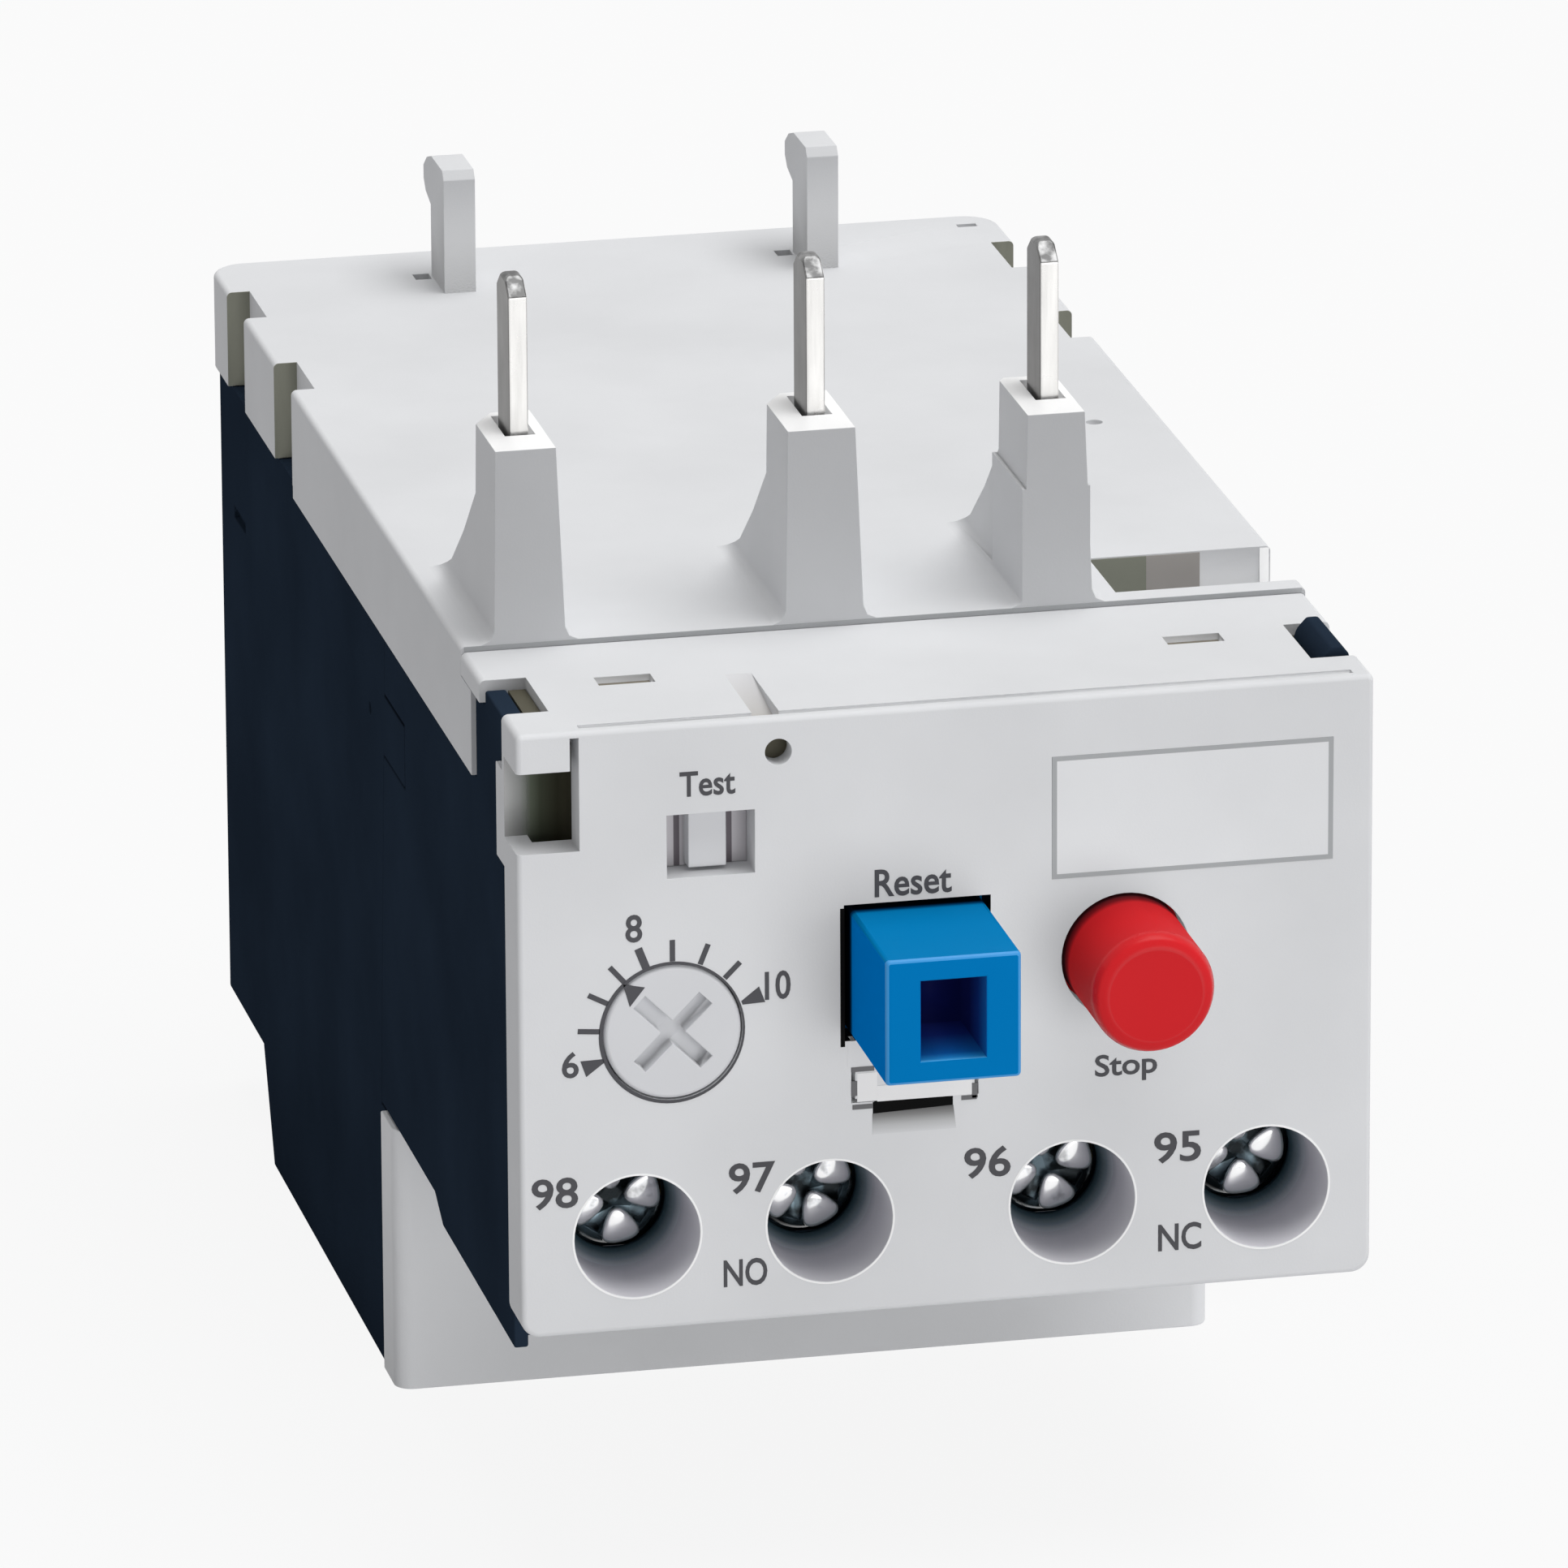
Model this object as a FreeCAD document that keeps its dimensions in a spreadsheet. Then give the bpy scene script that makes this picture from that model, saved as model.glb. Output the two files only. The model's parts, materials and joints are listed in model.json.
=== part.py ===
"""Plug-on three-pole thermal overload relay, built as an assembly of separate pieces.

The pieces are modelled in millimetres from one datum: X across the width from the middle,
Y back from the front face, Z up from the surface that the relay stands on.  Each finished
piece is then shifted along Y so that the origin is under the middle of the whole relay.
"""
import FreeCAD
import Part
import math
import os
import Sketcher

SIZES = {
    # whole relay
    "width": 45.0,
    "depth": 87.0,
    "face_bottom": 15.4,
    "face_height": 32.64,
    "plate_rise": 0.3,
    "ledge_depth": 14.4,
    "gap": 0.05,
    # dark housings
    "housing_inset": 0.25,
    "housing_wall": 1.6,
    "nose_drop": 1.05,
    "lip_drop": 1.7,
    "lip_wide": 0.75,
    "nose_depth": 22.4,
    "nose_ramp": 2.2,
    "belly_drop": 0.55,
    "seam_top": 36.8,
    "seam_bottom": 39.5,
    "tongue_length": 5.2,
    "tongue_height": 3.3,
    "tongue_bottom": 35.2,
    "rear_corner": 2.0,
    "tail_length": 12.2,
    "tail_height": 6.2,
    "tail_ramp": 2.8,
    "partition_wall": 1.2,
    # front cover
    "cover_wall": 2.0,
    "rim_wall": 1.2,
    "rim_depth": 3.3,
    "rim_depth_upper": 5.3,
    "rim_step": 24.6,
    "ledge_wall": 1.2,
    "face_corner": 1.0,
    "face_corner_upper": 0.35,
    "face_edge": 0.3,
    "edge_line_start": 0.55,
    "edge_line_wide": 0.55,
    "edge_line_deep": 0.2,
    "edge_line_inset": 3.4,
    "left_notch_start": 3.7,
    "left_notch_end": 9.5,
    "right_notch_start": 3.4,
    "right_notch_end": 9.3,
    "notch_height": 3.0,
    "lug_gap": 0.3,
    "lug_rise": 0.45,
    "left_notch_wide": 2.45,
    "ledge_slot_start": 7.3,
    "ledge_slot_long": 1.4,
    "label_left": 3.9,
    "label_right": 2.15,
    "label_low": 9.8,
    "label_high": 3.2,
    "label_line": 0.25,
    "label_deep": 0.15,
    "window_right": 3.26,
    "window_deep": 3.2,
    "slit_wide": 0.45,
    "slit_top": 0.35,
    "window_low": 6.4,
    "window_high": 2.1,
    "pilot_offset": 3.55,
    "pilot_drop": 1.85,
    "pilot_radius": 0.7,
    # top cover
    "skirt_wall": 1.4,
    "skirt_height": 6.15,
    "skirt_rise": 0.7,
    "skirt_front": 11.8,
    "plate_wall": 2.0,
    "block_depth": 25.3,
    "notch_deep": 1.3,
    "notch_long": 5.2,
    "rear_block": 5.8,
    "middle_block": 9.0,
    "plate_hole_inset": 3.8,
    "plate_hole_back": 15.8,
    "plate_hole_deep": 1.5,
    "pocket_gap": 2.0,
    "pocket_start": 1.4,
    "pocket_long": 6.1,
    "pocket_deep": 2.35,
    "pocket_floor": 0.9,
    "rear_slot_inset": 2.4,
    "rear_slot_wide": 1.1,
    "rear_slot_long": 0.6,
    "rear_slot_deep": 1.0,
    # posts, line blades and hooks
    "post_height": 10.4,
    "post_depth": 6.9,
    "post_one_inset": 3.55,
    "post_two": -3.25,
    "post_three_inset": 13.3,
    "post_one_left": 1.6,
    "post_one_right": 1.6,
    "post_two_left": 1.88,
    "post_two_right": 1.7,
    "post_three_left": 1.6,
    "post_three_right": 1.45,
    "post_spread_left": 0.15,
    "post_spread_right": 0.4,
    "post_flare": 0.7,
    "post_clip": 1.8,
    "post_clip_across": 1.1,
    "blade_offset": 0.25,
    "blade_thick": 1.0,
    "blade_wide": 3.1,
    "blade_height": 18.6,
    "blade_start": 2.9,
    "blade_slot_gap": 0.3,
    "post_step": 4.0,
    "gusset_drop": 3.7,
    "gusset_long": 9.0,
    "gusset_near": 0.35,
    "gusset_near_rise": 0.55,
    "gusset_far": 0.7,
    "gusset_far_rise": 0.18,
    "hook_left_inset": 12.68,
    "hook_right_inset": 11.65,
    "hook_width": 1.8,
    "hook_depth": 3.8,
    "hook_height": 7.0,
    "hook_nub": 2.0,
    "hook_back": 8.8,
    # lower panel
    "panel_front": 34.73,
    "panel_deep": 3.72,
    "panel_wall": 1.5,
    "panel_corner": 1.0,
    # poles
    "cage_side_gap": 1.45,
    "strip_thick": 0.8,
    "strip_wide": 6.0,
    "strip_front": 62.0,
    "strip_bottom": 9.0,
    "strip_top": 40.0,
    "coil_gap": 0.5,
    "coil_wall": 1.0,
    "coil_turn": 1.5,
    "coil_pitch": 2.6,
    "coil_bottom": 16.0,
    "coil_turns": 8,
    "cage_width": 10.0,
    "cage_front": 42.0,
    "cage_depth": 11.2,
    "cage_bottom": 1.9,
    "cage_height": 10.6,
    "cage_wall": 1.2,
    "load_screw_height": 7.4,
    "load_screw_head": 3.4,
    "load_screw_shank": 2.4,
    "load_head_thick": 2.8,
    "load_screw_gap": 0.6,
    "load_screw_reach": 1.9,
    "load_hole": 4.0,
    # control terminals
    "terminal_one_inset": 6.1,
    "terminal_two": -6.25,
    "terminal_three": 6.6,
    "terminal_four_inset": 5.6,
    "terminal_height": 20.55,
    "terminal_hole": 3.3,
    "tube_wall": 0.8,
    "tube_depth": 5.9,
    "screw_head": 2.65,
    "screw_head_thick": 1.2,
    "screw_shank": 1.45,
    "washer_size": 6.2,
    "washer_thick": 0.7,
    "wire_gap": 4.4,
    "terminal_plate": 1.0,
    "contact_height": 27.5,
    "contact_radius": 1.0,
    "contact_reach": 7.3,
    "contact_rise": 1.6,
    "contact_proud": 0.9,
    # mechanism
    "frame_front": 10.0,
    "frame_wall": 1.6,
    "frame_bottom": 24.5,
    "frame_top_gap": 0.59,
    "frame_side_gap": 0.35,
    "running": 0.05,
    "reset_x": -1.6,
    "reset_height": 33.98,
    "reset_width": 7.1,
    "reset_tall": 6.75,
    "reset_proud": 8.3,
    "reset_socket_width": 3.4,
    "reset_socket_tall": 4.3,
    "reset_socket_depth": 5.8,
    "stop_inset": 13.1,
    "stop_height": 33.8,
    "stop_radius": 3.25,
    "stop_proud": 6.6,
    "button_gap": 0.3,
    "button_flange": 0.9,
    "flange_thick": 1.3,
    "rod_radius": 1.5,
    "spring_wire": 0.25,
    "spring_turns": 4,
    "dial_inset": 8.05,
    "dial_height": 31.5,
    "dial_radius": 3.6,
    "dial_shaft": 2.0,
    "dial_cam": 2.9,
    "dial_cam_offset": 0.7,
    "test_inset": 10.1,
    "test_drop": 6.54,
    "test_wide": 4.6,
    "test_tall": 3.4,
    "test_paddle": 2.0,
    "travel": 1.5,
    "carrier_gap": 1.9,
    "carrier_thick": 2.8,
    "carrier_below": 1.5,
    "carrier_above": 1.6,
    "carrier_end": 2.2,
    "guide_radius": 1.1,
    "guide_rise": 2.9,
    "guide_left": 3.25,
    "guide_right": 5.8,
    "bridge_thick": 0.85,
    "bridge_tall": 2.4,
    "bridge_end": 1.6,
    "lever_x": -8.0,
    "lever_height": 38.0,
    "lever_front": 24.3,
    "lever_thick": 2.0,
    "lever_pin": 1.0,
    "slider_height": 11.0,
    "slider_thick": 1.0,
    "arm_height": 17.0,
    "arm_wide": 1.6,
    "arm_thick": 2.0,
}

doc = FreeCAD.newDocument("thermal_overload_relay")
sheet = doc.addObject("Spreadsheet::Sheet", "Dims")
for row, (alias, number) in enumerate(SIZES.items(), start=1):
    sheet.set(f"A{row}", str(number))
    sheet.setAlias(f"A{row}", alias)
doc.recompute()


class Size:
    """A length in millimetres together with the sheet formula that it follows."""

    def __init__(self, value, formula):
        self.value = value
        self.formula = formula

    def __add__(self, other):
        other = as_size(other)
        return Size(self.value + other.value, f"({self.formula} + {other.formula})")

    def __sub__(self, other):
        other = as_size(other)
        return Size(self.value - other.value, f"({self.formula} - {other.formula})")

    def __mul__(self, factor):
        factor = as_size(factor)
        return Size(self.value * factor.value, f"({self.formula} * {factor.formula})")

    def __truediv__(self, factor):
        factor = as_size(factor)
        return Size(self.value / factor.value, f"({self.formula} / {factor.formula})")

    def __neg__(self):
        return Size(-self.value, f"(0 - {self.formula})")

    def __radd__(self, other):
        return as_size(other) + self

    def __rsub__(self, other):
        return as_size(other) - self

    def __rmul__(self, factor):
        return as_size(factor) * self


def as_size(number):
    """A plain number as a Size, so that the two can be added."""
    if isinstance(number, Size):
        return number
    return Size(float(number), f"({float(number)})")


class Driven:
    """The sheet's cells by name, as Sizes."""

    def __getattr__(self, alias):
        return Size(float(sheet.get(alias)), f"Dims.{alias}")


d = Driven()
nodes = []

# Planes and lines that several pieces share.
side = d.width / 2
housing_side = side - d.housing_inset
housing_inner = housing_side - d.housing_wall
face_top = d.face_bottom + d.face_height
plate_top = face_top + d.plate_rise
plate_under = plate_top - d.plate_wall
skirt_bottom = plate_top - d.skirt_height
skirt_bottom_rear = skirt_bottom + d.skirt_rise
ledge_under = face_top - d.ledge_wall
rear_start = d.depth - d.block_depth
belly = d.face_bottom - d.belly_drop
nose_bottom = d.face_bottom - d.nose_drop
panel_back = d.panel_front + d.panel_deep
tail_front = d.depth - d.tail_length
post_top = plate_top + d.post_height
post_back = d.ledge_depth + d.post_depth
blade_tip = plate_top + d.blade_height
blade_front = d.ledge_depth + d.blade_start
blade_back = blade_front + d.blade_wide
link_top = plate_under - 2.0
link_bottom = link_top - d.blade_thick
frame_back = d.frame_front + d.frame_wall
flange_front = d.cover_wall + 0.2
flange_back = flange_front + d.flange_thick
washer_front = d.tube_depth + 0.1 + d.screw_head_thick + 0.1
washer_back = washer_front + d.washer_thick
plate_front = washer_back + d.wire_gap
plate_back = plate_front + d.terminal_plate
datum_shift = (d.reset_proud - d.depth) / 2

test_x = d.test_inset - side
test_height = face_top - d.test_drop
dial_x = d.dial_inset - side
stop_x = side - d.stop_inset
terminal_one = d.terminal_one_inset - side
terminal_four = side - d.terminal_four_inset
pole_pitch = housing_inner - d.cage_width / 2 - d.cage_side_gap
frame_top = ledge_under - d.gap - d.housing_wall - d.frame_top_gap

post_places = (d.post_one_inset - side, d.post_two, side - d.post_three_inset)
post_sides = ((d.post_one_left, d.post_one_right), (d.post_two_left, d.post_two_right),
              (d.post_three_left, d.post_three_right))
hook_places = (d.hook_left_inset - side, side - d.hook_right_inset)
pole_places = (-pole_pitch, 0, pole_pitch)
terminal_places = {
    "98": terminal_one,
    "97": d.terminal_two,
    "96": d.terminal_three,
    "95": terminal_four,
}
screw_turns = {"98": 35, "97": 20, "96": 28, "95": 40}


# ---------------------------------------------------------------- building blocks

def bind(item, path, size):
    """Tie one property of a document object to the sheet."""
    item.setExpression(path, as_size(size).formula)


def put(item, x, y, z):
    for letter, size in zip("xyz", (x, y, z)):
        bind(item, f"Placement.Base.{letter}", size)


def box(name, x, y, z):
    """A block between a low and a high plane along each axis."""
    item = doc.addObject("Part::Box", name)
    for path, (low, high) in zip(("Length", "Width", "Height"), (x, y, z)):
        bind(item, path, high - low)
    put(item, x[0], y[0], z[0])
    return item


def rod(name, axis, centre, radius, along):
    """A cylinder along an axis; centre gives the other two coordinates in X, Y, Z order."""
    item = doc.addObject("Part::Cylinder", name)
    bind(item, "Radius", radius)
    bind(item, "Height", along[1] - along[0])
    if axis == "x":
        item.Placement.Rotation = FreeCAD.Rotation(FreeCAD.Vector(0, 1, 0), 90)
        put(item, along[0], centre[0], centre[1])
    elif axis == "y":
        item.Placement.Rotation = FreeCAD.Rotation(FreeCAD.Vector(1, 0, 0), -90)
        put(item, centre[0], along[0], centre[1])
    else:
        put(item, centre[0], centre[1], along[0])
    return item


def origin_plane(body, role):
    for feature in body.Origin.OriginFeatures:
        if feature.Role == role:
            return feature
    raise RuntimeError(f"no {role} in {body.Label}")


def draw(sketch, outline):
    """A closed outline whose corners are all held to the sheet."""
    count = len(outline)
    corners = [FreeCAD.Vector(as_size(u).value, as_size(v).value, 0) for u, v in outline]
    for index in range(count):
        sketch.addGeometry(Part.LineSegment(corners[index], corners[(index + 1) % count]))
    for index in range(count):
        sketch.addConstraint(Sketcher.Constraint("Coincident", index, 2, (index + 1) % count, 1))
    for index, corner in enumerate(outline):
        for kind, size in zip(("DistanceX", "DistanceY"), corner):
            size = as_size(size)
            rule = Sketcher.Constraint(kind, -1, 1, index, 1, size.value)
            number = sketch.addConstraint(rule)
            sketch.setExpression(f"Constraints[{number}]", size.formula)


def sketch_on(body, role, outline):
    sketch = body.newObject("Sketcher::SketchObject", body.Name + "_outline")
    sketch.AttachmentSupport = [(origin_plane(body, role), "")]
    sketch.MapMode = "FlatFace"
    draw(sketch, outline)
    return sketch


def prism(name, role, outline, along):
    """A body padded from an outline on an origin plane, between two stations along its normal.

    XZ_Plane outlines are (x, z) and run along Y, YZ_Plane outlines are (y, z) and run along X,
    XY_Plane outlines are (x, y) and run along Z.
    """
    body = doc.addObject("PartDesign::Body", name)
    sketch = sketch_on(body, role, outline)
    start = -as_size(along[1]) if role == "XZ_Plane" else along[0]
    bind(sketch, "AttachmentOffset.Base.z", start)
    pad = body.newObject("PartDesign::Pad", name + "_pad")
    pad.Profile = sketch
    bind(pad, "Length", along[1] - along[0])
    return body


def turned(name, outline):
    """A body of revolution about Y; the outline is (radius, y)."""
    body = doc.addObject("PartDesign::Body", name)
    sketch = sketch_on(body, "XY_Plane", outline)
    turn = body.newObject("PartDesign::Revolution", name + "_turn")
    turn.Profile = sketch
    turn.ReferenceAxis = (sketch, ["V_Axis"])
    turn.Angle = 360
    return body


def rounded(body, radius, choose):
    """Round the edges of a body that choose(edge) picks."""
    doc.recompute()
    base = body.Tip
    picked = []
    for number, edge in enumerate(base.Shape.Edges, start=1):
        if choose(edge):
            picked.append(f"Edge{number}")
    fillet = body.newObject("PartDesign::Fillet", body.Name + "_round")
    fillet.Base = (base, picked)
    bind(fillet, "Radius", radius)
    body.Tip = fillet
    doc.recompute()
    return body


def runs_along(edge, axis):
    """Whether a straight edge runs along an axis."""
    if len(edge.Vertexes) != 2:
        return False
    ends = [vertex.Point for vertex in edge.Vertexes]
    lengths = [abs(ends[1][index] - ends[0][index]) for index in range(3)]
    across = sum(lengths) - lengths["xyz".index(axis)]
    return lengths["xyz".index(axis)] > 0.01 and across < 0.001


def lies_at(edge, axis, size):
    """Whether a whole edge lies in one plane across an axis."""
    place = as_size(size).value
    return all(abs(vertex.Point["xyz".index(axis)] - place) < 0.001 for vertex in edge.Vertexes)


def joined(name, pieces):
    item = doc.addObject("Part::MultiFuse", name)
    item.Shapes = pieces
    item.Refine = True
    return item


def carved(name, base, tools):
    item = doc.addObject("Part::Cut", name)
    item.Base = base
    item.Tool = tools[0] if len(tools) == 1 else joined(name + "_tools", tools)
    item.Refine = True
    return item


def finished(item, label, x=0, y=0, z=0):
    """Name a finished piece and place it, shifted from the datum to the relay's origin."""
    item.Label = label
    put(item, x, datum_shift + y, z)
    nodes.append(item)
    return item


# ---------------------------------------------------------------- covers and housings

def terminal_cuts():
    """The four screw holes through the front cover and the bores of their tubes."""
    cuts = []
    for mark, x in terminal_places.items():
        centre = (x, d.terminal_height)
        along = (-1, d.tube_depth + 1)
        cuts.append(rod(f"cover_hole_{mark}", "y", centre, d.terminal_hole, along))
    return cuts


def label_frame_cut():
    """The shallow engraved frame round the bare label field."""
    low_x, high_x = stop_x - d.label_left, side - d.label_right
    low_z, high_z = face_top - d.label_low, face_top - d.label_high
    outer = box("label_outer", (low_x, high_x), (-1, d.label_deep), (low_z, high_z))
    inner_x = (low_x + d.label_line, high_x - d.label_line)
    inner_z = (low_z + d.label_line, high_z - d.label_line)
    inner = box("label_inner", inner_x, (-2, 1), inner_z)
    return carved("label_frame", outer, [inner])


def front_cover():
    ledge_end = d.ledge_depth - d.gap
    outline = [(-side, d.face_bottom), (side, d.face_bottom), (side, face_top), (-side, face_top)]
    skin = prism("cover_block", "XZ_Plane", outline, (0, ledge_end))
    rounded(skin, d.face_corner,
            lambda edge: runs_along(edge, "y") and lies_at(edge, "z", d.face_bottom))
    rounded(skin, d.face_corner_upper,
            lambda edge: runs_along(edge, "y") and lies_at(edge, "z", face_top))
    rounded(skin, d.face_edge, lambda edge: lies_at(edge, "y", 0))
    outside = (-side - 1, side + 1)
    inside = (d.rim_wall - side, side - d.rim_wall)
    base = carved("cover_shell", skin, [
        box("cover_hollow", inside, (d.cover_wall, d.depth), (d.face_bottom + d.rim_wall, ledge_under)),
        box("cover_rear", outside, (d.rim_depth_upper, d.depth), (0, ledge_under)),
        box("cover_low_rear", outside, (d.rim_depth, d.depth),
            (0, d.face_bottom + d.rim_step)),
    ])
    tubes = []
    for mark, x in terminal_places.items():
        radius = d.terminal_hole + d.tube_wall
        along = (d.cover_wall - 0.5, d.tube_depth)
        tubes.append(rod(f"cover_tube_{mark}", "y", (x, d.terminal_height), radius, along))
    tube_y = (d.rim_depth + 0.02, d.tube_depth + 1)
    tube_z = (0, d.face_bottom + d.rim_step)
    beside = [
        box("cover_trim_left", (-side - 1, 0.15 - housing_inner), tube_y, tube_z),
        box("cover_trim_right", (housing_inner - 0.15, side + 1), tube_y, tube_z),
    ]
    body = joined("cover_body", [base, carved("cover_tubes", joined("cover_tube_set", tubes), beside)])

    notch_top = (face_top - d.notch_height, face_top + 1)
    slot_y = (d.ledge_slot_start, d.ledge_slot_start + d.ledge_slot_long)
    shallow = (face_top - 0.8, face_top + 1)
    through = (-1, d.cover_wall + 1)
    reset_side = d.reset_width / 2 + d.button_gap
    reset_half = d.reset_tall / 2 + d.button_gap
    reset_low = d.reset_height - reset_half
    test_side, test_half = d.test_wide / 2, d.test_tall / 2
    groove = [(7.6, face_top), (0.6, face_top - 0.9),
              (0.6, face_top + 1), (7.6, face_top + 1)]
    ramp = [(-1, reset_low - 5.1), (-1, reset_low - 4.6),
            (1.0, reset_low - 3.9), (1.4, reset_low - 3.9),
            (0, reset_low - 5.1)]
    tongue_side = (d.reset_x - 3.5, d.reset_x + 3.2)
    tongue_cut = carved("tongue_gap", box("tongue_window", tongue_side, (-1, 0.7),
                                          (reset_low - 3.4, reset_low + 0.1)), [
        box("tongue_keep", (tongue_side[0] + 0.2, tongue_side[1] - 0.2),
            (-2, d.cover_wall + 2), (reset_low - 3.2, reset_low + 2)),
    ])
    cuts = terminal_cuts() + [
        label_frame_cut(),
        box("left_notch", (-side - 1, d.left_notch_wide - side),
            (d.left_notch_start, d.left_notch_end), notch_top),
        box("right_notch", (side - 2.5, side + 1), (d.right_notch_start, d.right_notch_end),
            notch_top),
        box("left_slot", (dial_x - 2.2, dial_x + 0.75), slot_y, shallow),
        box("right_slot", (side - 9.1, side - 6.1), slot_y, shallow),
        prism("ledge_groove", "YZ_Plane", groove, (test_x + 2.4, test_x + 3.8)),
        box("edge_line", (d.edge_line_inset - side, side - d.face_corner),
            (d.edge_line_start, d.edge_line_start + d.edge_line_wide),
            (face_top - d.edge_line_deep, face_top + 1)),
        box("corner_slit", (d.window_right - d.slit_wide - side, d.window_right - side),
            (-1, d.window_deep), (face_top - d.window_high - 0.1, face_top - d.slit_top)),
        box("corner_window", (-side - 1, d.window_right - side), (-1, d.window_deep),
            (face_top - d.window_low, face_top - d.window_high)),
        rod("pilot_hole", "y", (test_x + d.pilot_offset, face_top - d.pilot_drop), d.pilot_radius,
            through),
        rod("dial_hole", "y", (dial_x, d.dial_height), d.dial_radius + 0.08, through),
        box("test_window", (test_x - test_side, test_x + test_side), through,
            (test_height - test_half, test_height + test_half)),
        box("reset_window", (d.reset_x - reset_side, d.reset_x + reset_side), through,
            (reset_low, d.reset_height + reset_half)),
        tongue_cut,
        box("tongue_slot", (d.reset_x - 2.3, d.reset_x + 1.7), through,
            (reset_low - 4.0, reset_low - 3.3)),
        prism("tongue_ramp", "YZ_Plane", ramp, (d.reset_x - 2.3, d.reset_x + 1.75)),
        rod("stop_hole", "y", (stop_x, d.stop_height), d.stop_radius + 0.15, through),
    ]
    finished(carved("front_cover_cut", body, cuts), "front_cover")


def front_housing():
    front, upper = d.rim_depth + d.gap, d.rim_depth_upper + d.gap
    step = d.face_bottom + d.rim_step
    nose_end = d.nose_depth + d.nose_ramp
    skirt_start = d.skirt_front - d.gap
    seam_low, seam_high = d.seam_bottom - d.gap, d.seam_top - d.gap
    top, low_top = ledge_under - d.gap, skirt_bottom - d.gap
    outline = [(front, nose_bottom), (d.nose_depth, nose_bottom), (nose_end, belly),
               (seam_low, belly), (seam_high, low_top), (skirt_start, low_top),
               (skirt_start, top), (upper, top), (upper, step), (front, step)]
    block = prism("front_block", "YZ_Plane", outline, (-housing_side, housing_side))
    wall = d.housing_wall
    inner = [(1, nose_bottom + wall), (d.nose_depth, nose_bottom + wall),
             (nose_end, belly + wall), (d.depth, belly + wall), (d.depth, plate_top),
             (skirt_start + 1, plate_top), (skirt_start + 1, top - wall), (1, top - wall)]
    hollow = prism("front_hollow", "YZ_Plane", inner, (-housing_inner, housing_inner))
    shell = carved("front_shell", block, [hollow])
    left_lug = box("left_lug", (-housing_side, 1.1 - housing_side),
                   (d.left_notch_start + d.lug_gap, d.left_notch_end - d.lug_gap),
                   (top - wall, face_top - d.lug_rise))
    crown = face_top + d.lug_rise
    lug_outline = [(housing_side - 1.9, top - wall), (housing_side, top - wall),
                   (housing_side, face_top - 0.6), (housing_side - 0.15, face_top),
                   (housing_side - 0.5, crown), (housing_side - 1.1, crown),
                   (housing_side - 1.6, face_top - 0.1), (housing_side - 1.9, face_top - 0.9)]
    right_lug = prism("right_lug", "XZ_Plane", lug_outline,
                      (d.right_notch_start + d.lug_gap, d.right_notch_end - d.lug_gap))
    lip_bottom = d.face_bottom - d.lip_drop
    lip_outline = [(front, lip_bottom), (d.nose_depth, lip_bottom), (nose_end, belly),
                   (nose_end, belly + wall / 2), (front, belly + wall / 2)]
    lip = prism("left_lip", "YZ_Plane", lip_outline, (-housing_side, d.lip_wide - housing_side))
    body = joined("front_walls", [shell, left_lug, right_lug, lip])
    cuts = []
    for mark, x in terminal_places.items():
        cuts.append(box(f"wire_hole_{mark}", (x - 3, x + 3), (washer_back + 0.1, plate_front - 0.1),
                        (nose_bottom - 1, nose_bottom + 3)))
    tongue_y = (d.seam_top - d.tongue_length - 0.15, d.depth)
    tongue_z = (d.tongue_bottom - 0.15, d.tongue_bottom + d.tongue_height + 0.15)
    cuts.append(box("tongue_opening", (-side, side), tongue_y, tongue_z))
    finished(carved("front_housing_cut", body, cuts), "front_housing")


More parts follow.
